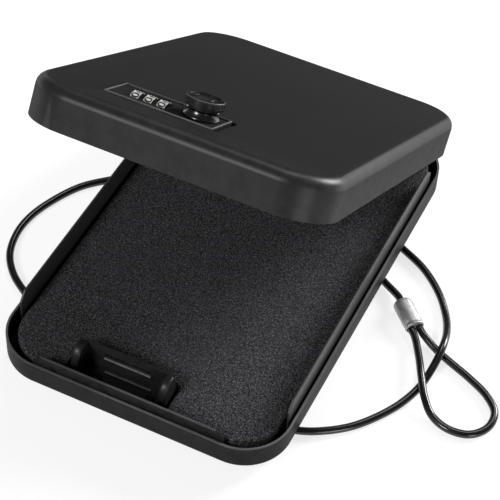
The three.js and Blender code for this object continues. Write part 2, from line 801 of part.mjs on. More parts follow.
// Glossy flared collar between the lock's face and the knob
function knobCollar() {
  const base = belowLid(plateBelowLid) + seatGap;
  const bore = spindleRadius + runningGap;
  const profile = [[bore, base], [collarRadius, base]];
  for (let i = 0; i <= collarSteps; i += 1) {
    const rise = i / collarSteps;
    profile.push([
      collarNeckRadius + (collarRadius - collarNeckRadius) * (1 - rise) ** 2,
      base + collarLip + (collarHeight - collarLip) * rise,
    ]);
  }
  profile.push([bore, base + collarHeight], [bore, base]);
  return turned(profile, knobX, knobY, 36);
}

// Knob: a neck and a disc with a dished top, a small raised tab and a finger hollow
function knobPiece() {
  const discTop = knobBase + knobGap + knobThickness;
  const dish = discTop - knobDish;
  const body = turned([
    [0, knobBase],
    [knobNeckRadius, knobBase],
    [knobNeckRadius, knobBase + knobGap],
    [knobRadius - knobEdge, knobBase + knobGap],
    [knobRadius, knobBase + knobGap + knobEdge],
    [knobRadius, discTop - knobEdge],
    [knobRadius - knobEdge, discTop],
    [knobRadius - knobEdge - knobRim, discTop],
    [knobRadius - 2 * knobEdge - knobRim, dish],
    [0, dish],
  ], knobX, knobY, 40);
  const tab = block(...knobTab, dish - knobEdge, discTop).translate([knobX, knobY, 0]);
  const [hollowX, hollowY, hollowWidth, hollowLength] = knobHollow;
  const hollow = bar('z', 1, dish - knobHollowDepth, dish + past, [0, 0], 20)
    .scale([hollowWidth, hollowLength, 1]).translate([knobX + hollowX, knobY + hollowY, 0]);
  const socket = bar('z', spindleRadius + spindleFit, knobBase - past, knobBase + knobSocketDepth,
    [knobX, knobY], 20);
  return cut(join(body, tab), hollow, socket);
}

// Shaft of the knob, with a crank disc and a pin at its lower end
function knobSpindle() {
  const discTop = crankLevel + crankDiscThickness;
  const pinX = knobX + crankRadius * Math.cos(crankRest);
  const pinY = knobY + crankRadius * Math.sin(crankRest);
  const pinBottom = crankLevel - runningGap - boltThickness - crankPinOverhang;
  const shaft = bar('z', spindleRadius, crankLevel, knobBase + spindleEngagement, [knobX, knobY], 20);
  const disc = bar('z', crankDiscRadius, crankLevel, discTop, [knobX, knobY], 24);
  const pin = bar('z', crankPinRadius, pinBottom, discTop, [pinX, pinY], 16);
  return join(shaft, disc, pin);
}

// Open ring under the case top that keeps the spindle from pulling out
function spindleClip() {
  const top = belowLid(caseTopDrop + caseFlangeThickness) - seatGap;
  const bottom = top - clipThickness;
  const ring = bar('z', spindleRadius + clipWidth, bottom, top, [knobX, knobY], 20);
  const bore = bar('z', spindleRadius + spindleFit, bottom - past, top + past,
    [knobX, knobY], 20);
  const opening = block(knobX - clipOpening / 2, knobX + clipOpening / 2,
    knobY, knobY + spindleRadius + clipWidth + past, bottom - past, top + past);
  return cut(ring, bore, opening);
}

// Sliding bolt: a plate in the case, an arm over the keeper's back wall, a hook with a toe,
// and a fence beside the wheels
function boltSlide() {
  const top = belowLid(boltBelowLid);
  const bottom = top - boltThickness;
  const fenceY = wheelY + wheelRadius + windowGap;
  const rear = fenceY + fenceWidth;
  const toeTip = keeperBackY - keeperWall - toeGap;
  const legBack = toeTip - toeLength;
  const legFront = legBack - boltThickness;
  const toeBottom = rim + keeperSlotRise + runningGap;
  const toeTop = rim + keeperSlotRise + keeperSlotHeight - runningGap;
  const hook0 = keeperCentreX - hookWidth / 2;
  const hook1 = keeperCentreX + hookWidth / 2;
  const plateLeft = knobX - boltWidth / 2;
  const plateRight = knobX + boltWidth / 2;
  const plate = block(plateLeft, plateRight, legFront, rear, bottom, top);
  const arm = block(hook0, plateRight, legFront, caseFrontY - boltTravel - runningGap, bottom, top);
  const leg = block(hook0, hook1, legFront, legBack, toeBottom, top);
  const toe = block(hook0, hook1, legFront, toeTip, toeBottom, toeTop);
  const fence = block(wheelX(0) - wheelWidth / 2, knobX, fenceY, rear, bottom, top);
  const pinX = knobX + crankRadius * Math.cos(crankRest);
  const pinY = knobY + crankRadius * Math.sin(crankRest);
  const slotEnd = crankPinRadius + runningGap;
  const slotHalf = crankPinRadius + slotSlack;
  const slot = block(pinX - slotEnd, knobX + crankRadius + slotEnd, pinY - slotHalf, pinY + slotHalf,
    bottom - past, top + past);
  return cut(join(plate, arm, leg, toe, fence), slot);
}

// Route of the cable: along the ground, over or under itself in humps, and up to the bush
const ferruleAxisZ = ferruleHeight / 2 + cableLift;
const ferruleTop = new THREE.Vector3(93.6, 17.2, ferruleAxisZ);
const ferruleAlong = new THREE.Vector3(0.705, -0.709, 0).normalize();
const ferruleSide = new THREE.Vector3(-ferruleAlong.y, ferruleAlong.x, 0);
const ferruleEnd = ferruleTop.clone().addScaledVector(ferruleAlong, ferruleLength);

const runPoints = [
  [83, 25.4, 3.1],
  [60, 38, cableGround],
  [30, 49, cableGround],
  [0, 54, cableGround],
  [-30, 52, cableGround],
  [-58, 44, cableGround],
  [-80, 34, cableGround],
  [-91.6, 24.6, cableGround],
  [-102.5, 13, cableGround],
  [-111.1, -4, cableGround],
  [-115.7, -20, cableGround],
  [-115.9, -34, cableGround],
  [-111.5, -49, cableGround],
  [-102.5, -60.5, cableGround],
  [-90.4, -69, cableGround],
  [-74, -77.5, cableGround],
  [-50, -86, cableGround],
  [-20, -91, cableGround],
  [15, -92.5, cableGround],
  [50, -90.5, cableGround],
  [79.4, -84.2, cableGround],
  [91.7, -77.8, cableGround],
  [102.5, -69, cableGround],
  [112, -56.7, cableGround],
  [119, -43.9, cableGround],
  [123.5, -29.5, cableGround],
  [125.3, -16.5, cableGround + 2.5],
  [125.3, -3.5, cableHump],
  [123, 9, cableGround + 2.5],
  [118.4, 20.5, cableGround + 0.2],
  [109.2, 33.9, cableGround],
  [95.3, 46.6, cableGround],
  [80.9, 54.4, cableGround],
  [58, 64, cableGround],
  [30, 74, cableGround],
  [2, 84, cableGround],
  [-22, 95, cableGround],
  [-36, 109, cableGround],
  [-40, 126, cableGround],
  [-37.3, 138, cableGround + 0.2],
  [-30, 145.3, cableGround + 1.4],
  [-20, 148, cableGround + 4.4],
  [-10, 145.3, cableGround + 7.8],
  [-2.7, 138, cableHole - 0.9],
];
const runMouth = [0, halfLength + grommetFlange + cableLead, cableHole];
const loopPoints = [
  [115.6, -13, ferruleAxisZ + 1],
  [122.5, -26.5, cableHump],
  [128.6, -37, ferruleAxisZ + 0.8],
  [136, -44.5, cableGround + 0.6],
  [146.4, -48.3, cableGround],
  [157.5, -46.4, cableGround],
  [164.3, -38.3, cableGround],
  [164.3, -27.7, cableGround],
  [157, -19.4, cableGround],
  [145, -12.8, cableGround],
  [132.5, -7.6, cableGround],
  [122, -3.2, cableGround + 0.5],
];

function cableSolid(points) {
  const curve = new THREE.CatmullRomCurve3(points, false, 'centripetal');
  const steps = Math.ceil(curve.getLength() / cableStep);
  const section = new THREE.Shape();
  section.absarc(0, 0, cableRadius, 0, Math.PI * 2);
  return solid(new THREE.ExtrudeGeometry(section, {
    steps, bevelEnabled: false, extrudePath: curve, curveSegments: cableSides / 2,
  }));
}

function cableRun() {
  const start = ferruleTop.clone().addScaledVector(ferruleAlong, -seatGap);
  const lead = start.clone().addScaledVector(ferruleAlong, -cableLead);
  lead.z -= cableLeadDrop;
  const mouth = new THREE.Vector3(...runMouth);
  const end = new THREE.Vector3(0, cableInnerY, cableHole);
  const points = [start, lead, ...runPoints.map((p) => new THREE.Vector3(...p)), mouth, end];
  return cableSolid(points);
}

function loopCurvePoints() {
  const start = ferruleEnd.clone().addScaledVector(ferruleAlong, seatGap);
  const out = start.clone().addScaledVector(ferruleSide, -ferruleLegSpacing / 2);
  const back = start.clone().addScaledVector(ferruleSide, ferruleLegSpacing / 2);
  const outLead = out.clone().addScaledVector(ferruleAlong, cableLead);
  const backLead = back.clone().addScaledVector(ferruleAlong, cableLead);
  return [out, outLead, ...loopPoints.map((p) => new THREE.Vector3(...p)), backLead, back];
}

// Crimped sleeve: an oval body with sloped shoulders
function cableFerrule() {
  const half = ferruleLength / 2;
  const sides = 20;
  const profile = [
    [0, -half],
    [ferruleEndScale, -half],
    [1, -half + ferruleShoulder],
    [1, half - ferruleShoulder],
    [ferruleEndScale, half],
    [0, half],
  ];
  const geometry = new THREE.LatheGeometry(profile.map(([r, y]) => new THREE.Vector2(r, y)), sides);
  geometry.scale(ferruleWidth / 2, 1, ferruleHeight / 2);
  const turn = Math.atan2(ferruleAlong.y, ferruleAlong.x) - Math.PI / 2;
  geometry.rotateZ(turn);
  const centre = ferruleTop.clone().add(ferruleEnd).multiplyScalar(0.5);
  geometry.translate(centre.x, centre.y, centre.z);
  return solid(geometry);
}

// Sleeve crimped on the inner end of the cable, too wide to be pulled through the bush
function cableStop() {
  return bar('y', stopRadius, cableInnerY - seatGap - stopLength, cableInnerY - seatGap, [0, cableHole], 20);
}

// Bush in the tray's back wall, with a flange on both sides
function cableGrommet() {
  const outer = halfLength;
  const inner = halfLength - sheet;
  const bore = cableRadius + seatGap;
  const profile = [
    [bore, inner - seatGap - grommetFlange],
    [grommetFlangeRadius, inner - seatGap - grommetFlange],
    [grommetFlangeRadius, inner - seatGap],
    [grommetRadius, inner - seatGap],
    [grommetRadius, outer + seatGap],
    [grommetFlangeRadius, outer + seatGap],
    [grommetFlangeRadius, outer + seatGap + grommetFlange],
    [bore, outer + seatGap + grommetFlange],
    [bore, inner - seatGap - grommetFlange],
  ];
  const geometry = new THREE.LatheGeometry(profile.map(([r, y]) => new THREE.Vector2(r, y)), 20);
  geometry.translate(0, 0, cableHole);
  return solid(geometry);
}

add(trayGroup, 'tray_shell', trayShell(), paint);
add(trayGroup, 'guard_strip_front', frontStrip(), stripPaint);
add(trayGroup, 'guard_strip_right', sideStrip(1), stripPaint);
add(trayGroup, 'guard_strip_left', sideStrip(-1), stripPaint);
add(trayGroup, 'latch_keeper', latchKeeper(), plastic);
rivetPlaces.forEach((x, i) => add(trayGroup, `keeper_rivet_${i + 1}`, keeperRivet(x), steel));
add(trayGroup, 'foam_pad', foamPad(), foam);
footPlaces.forEach(([x, y], i) => add(trayGroup, `foot_${i + 1}`, foot(x, y), rubber));
hingeCentres.forEach((x, i) => {
  const side = i === 0 ? 'left' : 'right';
  add(trayGroup, `hinge_leaf_tray_${side}`, hingeLeaf(x, -1), steel);
  add(trayGroup, `hinge_pin_${side}`, hingePin(x), steel);
  addToLid(`hinge_leaf_lid_${side}`, hingeLeaf(x, 1), steel);
});
add(trayGroup, 'cable_grommet', cableGrommet(), rubber);

addToLid('lid_shell', lidShell(), paint);
addToLid('lock_plate', lockPlate(), plastic);
addToLid('lock_case', lockCase(), plastic);
addToLid('case_cover', caseCover(), plastic);
caseScrewPlaces().forEach(([x, y], i) => addToLid(`case_screw_${i + 1}`, caseScrew(x, y), steel));
addToLid('dial_axle', dialAxle(), steel);
for (let i = 0; i < wheelCount; i += 1) {
  addToLid(`dial_wheel_${i + 1}`, dialWheel(i), numberPlastic);
  addToLid(`code_disc_${i + 1}`, codeDisc(i), steel);
}
addToLid('detent_spring', detentSpring(), springSteel);
addToLid('knob_collar', knobCollar(), glossPlastic);
addToLid('knob', knobPiece(), plastic);
addToLid('knob_spindle', knobSpindle(), steel);
addToLid('spindle_clip', spindleClip(), springSteel);
addToLid('bolt_slide', boltSlide(), steel);
addToLid('code_reset_lever', codeResetLever(), steel);

// The origin is the middle of the object's box, without the cable, on the ground
group.updateMatrixWorld(true);
const bounds = new THREE.Box3().setFromObject(group, true);
group.position.y = -(bounds.min.y + bounds.max.y) / 2;

add(trayGroup, 'cable_run', cableRun(), vinyl);
add(trayGroup, 'cable_loop', cableSolid(loopCurvePoints()), vinyl);
add(trayGroup, 'cable_ferrule', cableFerrule(), aluminium);
add(trayGroup, 'cable_stop', cableStop(), aluminium);

export default group;
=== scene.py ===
"""Dresses the portable car safe: coated steel shells, foam, number lock, hinges and tether cable."""

import json
import math

import bmesh
import bpy
from mathutils import Matrix, Vector


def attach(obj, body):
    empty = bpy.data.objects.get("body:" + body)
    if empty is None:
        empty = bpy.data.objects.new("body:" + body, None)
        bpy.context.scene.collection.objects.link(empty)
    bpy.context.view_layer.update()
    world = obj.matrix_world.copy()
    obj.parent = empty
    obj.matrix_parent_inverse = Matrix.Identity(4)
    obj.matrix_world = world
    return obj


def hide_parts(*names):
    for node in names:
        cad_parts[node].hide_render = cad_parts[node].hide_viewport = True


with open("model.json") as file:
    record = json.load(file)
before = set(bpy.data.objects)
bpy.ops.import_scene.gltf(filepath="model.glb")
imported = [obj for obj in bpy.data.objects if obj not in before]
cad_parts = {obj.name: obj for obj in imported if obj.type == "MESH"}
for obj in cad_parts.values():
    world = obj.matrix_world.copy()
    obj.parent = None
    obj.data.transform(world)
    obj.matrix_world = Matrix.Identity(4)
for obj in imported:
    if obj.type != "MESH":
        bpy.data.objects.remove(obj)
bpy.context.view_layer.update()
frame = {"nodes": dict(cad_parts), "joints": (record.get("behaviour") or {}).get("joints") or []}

bl_info = {
    "name": "Portable car safe",
    "version": (1, 0, 0),
    "blender": (4, 5, 0),
    "location": "3D View > Sidebar > Car Safe",
    "description": "Dresses a lidded car safe with its foam, number lock, hinges and tether cable",
    "category": "Mesh",
}

MM = 0.001
SAME_POINT = 1e-6
JOINTS = {joint["name"]: joint for joint in frame["joints"]}
HINGE = Vector(JOINTS["lid_hinge"]["pos_m"])
LID_ANGLE = math.radians(JOINTS["lid_hinge"]["range_deg"][0])

# The source is drawn about the middle of the tray, with the lid shut
HINGE_DRAWN = Vector((0, 123.1 * MM, HINGE.z))
TRAY = Matrix.Translation(HINGE - HINGE_DRAWN)
LID = (
    Matrix.Translation(HINGE)
    @ Matrix.Rotation(LID_ANGLE, 4, "X")
    @ Matrix.Translation(-HINGE_DRAWN)
)

# The camera, fitted to the edges of the tray and the lid: degrees, pixels and millimetres
CAMERA_TURN, CAMERA_TILT, CAMERA_ROLL = 23.229, 48.159, 3.419
CAMERA_FOCUS = 1754.8
PICTURE_WIDTH = 500
CAMERA_PLACE = (9.834, 5.925, 959.9)

# Places in millimetres, as in the source
TRAY_BOTTOM = 6
# Tops of the tray's rim and of the strips, from which the painted highlight line along their top
# edges starts
TRAY_RIM, FRONT_STRIP_RIM, SIDE_STRIP_RIM = 20.55, 27.0, 31.6
FOOT_PLACES = [(-60, -102.5), (60, -102.5), (-60, 102.5), (60, 102.5)]
RIVET_PLACES = [(-24.6, -106.6), (5.4, -106.6)]
FOAM_CORNERS = (-74.6, -118.1, 9.3), (74.6, 118.7, 19.6)
FOAM_ROUNDING = 24
KEEPER_ROOM = (-38.6, -130, 5), (19.4, -98.9, 30)
SLEEVE_ROOM = (-5.1, 104.8, 5), (5.1, 122, 18.9)
KEEPER_RIB_TOPS = (21.5, 10.3)
KEEPER_RIB_LEFT, KEEPER_RIB_RIGHT, KEEPER_RIB_FRONT, KEEPER_RIB_BACK = -23.2, 4.0, -102.2, -100.9
LID_TOP = 42.5
PLATE_LEFT, PLATE_RIGHT, PLATE_FRONT, PLATE_BACK, PLATE_TOP = -45.5, 11.5, -101.1, -75.1, 42.3
SCREW_INSET = 1.9
WHEEL_PLACES = [(-32.9, -88.9, 38.0), (-25.9, -88.9, 38.0), (-18.9, -88.9, 38.0)]
WHEEL_READING_ANGLE = 34
FIGURE_STEP = 36
KNOB_PLACE = (-0.6, -86.1)
KNOB_LOW, KNOB_HIGH = 48.0, 52.4
HINGE_MIDDLE = 35
HINGE_PIN_HALF = 16.5

# Where the lamps aim and how far off they stand, in metres
LAMP_AIM = Vector((0, 0, 0.1))
LAMP_DISTANCE = 1.8

# The ferrule beside the tray: where it starts, its way, its length and how far its legs spread
FERRULE_TOP = Vector((93.6, 17.2, 4.65)) * MM
FERRULE_ALONG = Vector((0.705, -0.709, 0)).normalized()
FERRULE_LENGTH = 19
LEG_SPREAD = 2.4

# Heights of the cable's middle on the ground, over itself and in the back wall, in millimetres
CABLE_GROUND = 2.25
CABLE_HUMP = 7.05
CABLE_HOLE = 13.8
STOP_MIDDLE = 113.6

# Routes of the cable in millimetres, as in the source; a point without a height is on the ground
RUN_ROUTE = [
    (83, 25.4, 3.1), (60, 38), (30, 49), (0, 54), (-30, 52), (-58, 44), (-80, 34), (-91.6, 24.6),
    (-102.5, 13), (-111.1, -4), (-115.7, -20), (-115.9, -34), (-111.5, -49), (-102.5, -60.5),
    (-90.4, -69), (-74, -77.5), (-50, -86), (-20, -91), (15, -92.5), (50, -90.5), (79.4, -84.2),
    (91.7, -77.8), (102.5, -69), (112, -56.7), (119, -43.9), (123.5, -29.5),
    (125.3, -16.5, CABLE_GROUND + 2.5), (125.3, -3.5, CABLE_HUMP), (123, 9, CABLE_GROUND + 2.5),
    (118.4, 20.5, CABLE_GROUND + 0.2), (109.2, 33.9), (95.3, 46.6), (80.9, 54.4), (58, 64),
    (30, 74), (2, 84), (-22, 95), (-36, 109), (-40, 126), (-37.3, 138, CABLE_GROUND + 0.2),
    (-30, 145.3, CABLE_GROUND + 1.4), (-20, 148, CABLE_GROUND + 4.4),
    (-10, 145.3, CABLE_GROUND + 7.8), (-2.7, 138, CABLE_HOLE - 0.9), (0, 127.8, CABLE_HOLE),
    (0, 119.4, CABLE_HOLE),
]
LOOP_ROUTE = [
    (115.6, -13, 5.65), (122.5, -26.5, CABLE_HUMP), (128.6, -37, 5.45),
    (136, -44.5, CABLE_GROUND + 0.6), (146.4, -48.3), (157.5, -46.4), (164.3, -38.3),
    (164.3, -27.7), (157, -19.4), (145, -12.8), (132.5, -7.6), (122, -3.2, CABLE_GROUND + 0.5),
]


# Settings a user may change

def length(label, note, default):
    return bpy.props.FloatProperty(name=label, description=note, default=default * MM, min=0,
                                   unit="LENGTH")


def colour(label, note, default):
    return bpy.props.FloatVectorProperty(name=label, description=note, default=default, size=3,
                                         min=0, max=1, subtype="COLOR")


class SafeShellSettings(bpy.types.PropertyGroup):
    coat: colour("Coat", "Colour of the powder coat on both shells", (0.0165, 0.0165, 0.017))
    strip: colour("Strips", "Colour of the paint on the guard strips", (0.011, 0.011, 0.0115))
    rubber: colour("Rubber", "Colour of the feet and the cable bush", (0.016, 0.016, 0.017))
    steel: colour("Steel", "Colour of the plated hinges and fittings", (0.40, 0.40, 0.42))
    edge: length("Edge", "Width of the rounding along sheet metal edges", 0.3)
    grain: length("Grain", "Size of the grain of the powder coat", 0.55)


class SafeFoamSettings(bpy.types.PropertyGroup):
    dark: colour("Pores", "Colour deep in the open cells", (0.006, 0.006, 0.0065))
    light: colour("Skin", "Colour of the walls of the cells", (0.086, 0.086, 0.092))
    cell: length("Cell", "Size of a cell of the foam", 0.7)
    voxel: length("Mesh size", "Size of the faces of the foam", 1.5)
    wave: length("Waviness", "How far the top of the foam moves up and down", 0.35)


class SafeLockSettings(bpy.types.PropertyGroup):
    keeper: colour("Keeper", "Colour of the latch keeper", (0.0165, 0.0155, 0.0152))
    plastic: colour("Plastic", "Colour of the lock's face, its case and the knob",
                    (0.013, 0.013, 0.0135))
    gloss: colour("Collar", "Colour of the glossy collar under the knob", (0.008, 0.008, 0.0085))
    label: colour("Wheel faces", "Colour of the faces of the number wheels", (0.74, 0.74, 0.72))
    ink: colour("Numbers", "Colour of the numbers on the wheels", (0.012, 0.012, 0.012))
    wheel_radius: length("Wheel radius", "Radius of a number wheel", 6.5)
    wheel_width: length("Wheel width", "Width of a number wheel", 4.4)
    number_height: length("Number height", "Height of a number on a wheel", 3.8)
    knob_radius: length("Knob radius", "Radius of the knob", 9.6)


class SafeCableSettings(bpy.types.PropertyGroup):
    vinyl: colour("Vinyl", "Colour of the cable's coat", (0.008, 0.008, 0.0085))
    aluminium: colour("Sleeves", "Colour of the crimped sleeves", (0.46, 0.46, 0.465))
    thickness: length("Thickness", "Diameter of the coated cable", 4.2)


def power(label, note, default):
    return bpy.props.FloatProperty(name=label, description=note, default=default, min=0,
                                   unit="POWER")


class SafeStageSettings(bpy.types.PropertyGroup):
    floor: colour("Floor", "Colour of the floor and the backdrop", (0.45, 0.45, 0.45))
    front: power("Front light", "Power of the soft light in front, beside the camera", 13.5)
    back: power("Back light", "Power of the soft light at the back right", 36)
    top: power("Top light", "Power of the soft light overhead", 6)
    side: power("Side light", "Power of the soft light at the right", 7)
    sky: bpy.props.FloatProperty(name="Sky", description="Strength of the even light all round",
                                 default=0.08, min=0, subtype="FACTOR")


# Materials

class Value:
    """A number in a material, so that maths on it can be written as an expression."""

    def __init__(self, tree, socket):
        self.tree = tree
        self.socket = socket

    def _maths(self, operation, first, second):
        node = self.tree.nodes.new("ShaderNodeMath")
        node.operation = operation
        for slot, item in zip(node.inputs, (first, second)):
            if isinstance(item, Value):
                self.tree.links.new(item.socket, slot)
            else:
                slot.default_value = item
        return Value(self.tree, node.outputs[0])

    def __add__(self, other):
        return self._maths("ADD", self, other)

    def __radd__(self, other):
        return self._maths("ADD", other, self)

    def __rsub__(self, other):
        return self._maths("SUBTRACT", other, self)

    def __mul__(self, other):
        return self._maths("MULTIPLY", self, other)

    def __rmul__(self, other):
        return self._maths("MULTIPLY", other, self)

    def __gt__(self, other):
        return self._maths("GREATER_THAN", self, other)


class Finish:
    """One material, built from nodes on the object's own coordinates."""

    def __init__(self, name):
        self.material = bpy.data.materials.new(name)
        self.material.use_nodes = True
        self.tree = self.material.node_tree
        self.shader = self.tree.nodes["Principled BSDF"]
        self.coordinates = self.node("ShaderNodeTexCoord")
        self.place = self.coordinates.outputs["Object"]

    def node(self, kind, settings=None, **sockets):
        """Any node: its settings are set first, then the values or links of its sockets."""
        node = self.tree.nodes.new(kind)
        for key, value in (settings or {}).items():
            setattr(node, key, value)
        for key, value in sockets.items():
            slot = node.inputs[key.replace("_", " ")]
            if isinstance(value, Value):
                self.tree.links.new(value.socket, slot)
            elif isinstance(value, bpy.types.NodeSocket):
                self.tree.links.new(value, slot)
            else:
                slot.default_value = value
        return node

    def stretched(self, scale, turn=0.0):
        """Coordinates turned about Z first and then scaled along the turned axes."""
        turned_place = self.node("ShaderNodeMapping", Vector=self.place,
                                 Rotation=(0, 0, math.radians(turn))).outputs["Vector"]
        return self.node("ShaderNodeMapping", Vector=turned_place,
                         Scale=scale).outputs["Vector"]

    def noise(self, size, detail, vector=None):
        """Noise whose spots are so many metres across."""
        node = self.node("ShaderNodeTexNoise", Vector=vector or self.place, Scale=1 / size,
                         Detail=detail)
        return Value(self.tree, node.outputs["Fac"])

    def cells(self, size):
        """Distance from the middle of cells that are so many metres across."""
        node = self.node("ShaderNodeTexVoronoi", Vector=self.place, Scale=1 / size)
        return Value(self.tree, node.outputs["Distance"])

    def ramp(self, value, low, high):
        """0 up to low, 1 from high, and even between them."""
        node = self.node("ShaderNodeMapRange", {"clamp": True}, Value=value)
        node.inputs["From Min"].default_value = low
        node.inputs["From Max"].default_value = high
        return Value(self.tree, node.outputs["Result"])

    def facing_away(self):
        """0 where the surface is seen square on, 1 where it is seen edge on."""
        node = self.node("ShaderNodeLayerWeight", Blend=0.5)
        return Value(self.tree, node.outputs["Facing"])

    def facing(self, way):
        """1 where the surface faces the given way, 0 across it, -1 where it faces back."""
        node = self.node("ShaderNodeVectorMath", {"operation": "DOT_PRODUCT"})
        self.tree.links.new(self.coordinates.outputs["Normal"], node.inputs[0])
        node.inputs[1].default_value = way
        return Value(self.tree, node.outputs["Value"])

    def low_angle(self, start=0.60, end=0.70):
        """0 down to a fairly low angle of view, and 1 below it."""
        return self.ramp(self.facing_away(), start, end)

    def worn_edges(self):
        """1 on sharp outward edges, in broken patches."""
        sharp = Value(self.tree, self.node("ShaderNodeNewGeometry").outputs["Pointiness"])
        return self.ramp(sharp, 0.515, 0.57) * self.ramp(self.noise(6 * MM, 4.0), 0.25, 0.6)

    def above(self, height):
        """1 on what lies above a height, with a narrow soft border."""
        split = self.node("ShaderNodeSeparateXYZ", Vector=self.place)
        return self.ramp(Value(self.tree, split.outputs["Z"]), height, height + 0.25 * MM)

    def mixed(self, factor, first, second):
        """The first colour at a factor of 0 and the second at 1."""
        node = self.node("ShaderNodeMix", {"data_type": "RGBA"}, Factor=factor)
        colours = [slot for slot in node.inputs if slot.type == "RGBA"]
        for slot, item in zip(colours, (first, second)):
            if isinstance(item, bpy.types.NodeSocket):
                self.tree.links.new(item, slot)
            else:
                slot.default_value = (*item, 1)
        return [slot for slot in node.outputs if slot.type == "RGBA"][0]

    def bump(self, height, depth, strength):
        """Small unevenness of the surface, so many metres deep."""
        node = self.node("ShaderNodeBump", Height=height, Distance=depth, Strength=strength)
        self.tree.links.new(node.outputs["Normal"], self.shader.inputs["Normal"])

    def dulled(self, factor, colour_socket):
        """Lets the surface turn into a plain dull one as the factor goes from 0 to 1."""
        dull = self.node("ShaderNodeBsdfPrincipled", Base_Color=colour_socket, Roughness=1.0,
                         Specular_IOR_Level=0.05)
        blend = self.node("ShaderNodeMixShader")
        self.tree.links.new(factor.socket, blend.inputs["Fac"])
        self.tree.links.new(self.shader.outputs["BSDF"], blend.inputs[1])
        self.tree.links.new(dull.outputs["BSDF"], blend.inputs[2])
        self.tree.links.new(blend.outputs["Shader"],
                            self.tree.nodes["Material Output"].inputs["Surface"])

    def paint(self, colour_socket, roughness, **constants):
        """Links the colour and the roughness to the shader and sets its even values."""
        if colour_socket is not None:
            self.tree.links.new(colour_socket, self.shader.inputs["Base Color"])
        if roughness is not None:
            self.tree.links.new(roughness.socket, self.shader.inputs["Roughness"])
        for key, value in constants.items():
            self.shader.inputs[key.replace("_", " ")].default_value = value
        return self.material


def shade(tint, factor):
    """The same colour, lighter or darker."""
    return tuple(min(1.0, part * factor) for part in tint)


def coat_finish(name, tint, grain, roughness, gloss, up, flat_dulling, wall_dulling,
                low_dulling=0.0, rim=None):
    """Powder coat: a fine grain, clouds and worn edges, and a painted highlight line above the rim
    height; its roundings are the glossiest.
    """
    finish = Finish(name)
    upward = finish.facing(up)
    dulling = (finish.ramp(upward, 0.90, 0.99) * flat_dulling
               + (1.0 - finish.ramp(upward, 0.05, 0.3)) * wall_dulling)
    dulling = 1.0 - (1.0 - dulling) * (1.0 - low_dulling * finish.low_angle(0.52, 0.78))
    fine = finish.noise(grain, 3.0)
    clouds = finish.noise(38 * MM, 3.0)
    base = finish.mixed(finish.ramp(fine, 0.3, 0.7), shade(tint, 0.82), shade(tint, 1.2))
    base = finish.mixed(finish.ramp(clouds, 0.35, 0.65) * 0.12, base, shade(tint, 1.5))
    base = finish.mixed(finish.worn_edges() * 0.8, base, shade(tint, 4.5))
    if rim is not None:
        # Painted highlight: what lies above the rim height is made 18 times lighter, standing in for
        # the light line along the top edge
        painted_rim_highlight = finish.above(rim) * (0.6 + 0.4 * finish.ramp(clouds, 0.4, 0.6))
        base = finish.mixed(painted_rim_highlight, base, shade(tint, 18.0))
    finish.bump(fine, 0.06 * MM, 0.7)
    finish.dulled(dulling, base)
    return finish.paint(base, roughness + 0.06 * clouds, Specular_IOR_Level=gloss)


def plastic_finish(name, tint, roughness, grain=0.35):
    """Moulded plastic: a faint spark-eroded grain and slightly paler edges."""
    finish = Finish(name)
    fine = finish.noise(grain * MM, 2.0)
    soft = finish.noise(14 * MM, 3.0)
    base = finish.mixed(finish.ramp(soft, 0.3, 0.7), shade(tint, 0.85), shade(tint, 1.2))
    base = finish.mixed(finish.worn_edges() * 0.5, base, shade(tint, 3.0))
    finish.bump(fine, 0.03 * MM, 0.5)
    finish.dulled(finish.low_angle(), base)
    return finish.paint(base, roughness + 0.08 * soft, Specular_IOR_Level=0.4)


def gloss_finish(name, tint, roughness):
    """Polished dark plastic with a few soft smears."""
    finish = Finish(name)
    smears = finish.noise(9 * MM, 4.0)
    base = finish.mixed(finish.ramp(smears, 0.3, 0.8), tint, shade(tint, 1.6))
    return finish.paint(base, roughness + 0.08 * smears, Specular_IOR_Level=1.0)


def metal_finish(name, tint, roughness, grain, depth, along=90.0):
    """Plated or pressed metal: rubbed streaks, spots of duller metal and fine scratches."""
    finish = Finish(name)
    streaks = finish.noise(grain, 4.0, finish.stretched((0.12, 1, 1), along))
    spots = finish.noise(3 * MM, 3.0)
    lines = finish.noise(0.9 * MM, 1.0, finish.stretched((0.06, 1, 1)))
    scratches = finish.ramp(lines, 0.6, 0.66)
    base = finish.mixed(finish.ramp(spots, 0.3, 0.7), shade(tint, 0.78), shade(tint, 1.12))
    base = finish.mixed(finish.ramp(streaks, 0.5, 0.7) * 0.5, base, shade(tint, 0.3))
    base = finish.mixed(scratches * 0.35, base, shade(tint, 1.35))
    finish.bump(streaks + 0.6 * spots, depth, 0.6)
    return finish.paint(base, roughness + 0.16 * streaks, Metallic=1.0)


def foam_finish(name, dark, light, cell):
    """Open-cell foam: dark pores between pale cell walls, finer pores and small glints."""
    finish = Finish(name)
    pores = finish.ramp(finish.cells(cell), 0.12, 0.72)
    fine = finish.noise(cell * 0.45, 2.0)
    clouds = finish.noise(30 * MM, 2.0)
    walls = pores * 0.62 + fine * 0.38
    base = finish.mixed(finish.ramp(walls, 0.42, 0.68), dark, light)
    base = finish.mixed(finish.ramp(clouds, 0.3, 0.8) * 0.3, base, shade(light, 0.55))
    glints = finish.ramp(finish.noise(cell * 1.4, 1.0), 0.58, 0.70)
    base = finish.mixed(glints * 0.8, base, shade(light, 2.6))
    finish.bump(walls, 0.5 * MM, 0.9)
    return finish.paint(base, None, Roughness=0.95, Specular_IOR_Level=0.2)


def rubber_finish(name, tint):
    """Dull rubber with some pale dust."""
    finish = Finish(name)
    fine = finish.noise(0.5 * MM, 2.0)
    dust = finish.ramp(finish.noise(5 * MM, 4.0), 0.45, 0.8)
    base = finish.mixed(dust * 0.5, tint, shade(tint, 2.6))
    finish.bump(fine, 0.05 * MM, 0.6)
    return finish.paint(base, None, Roughness=0.8)


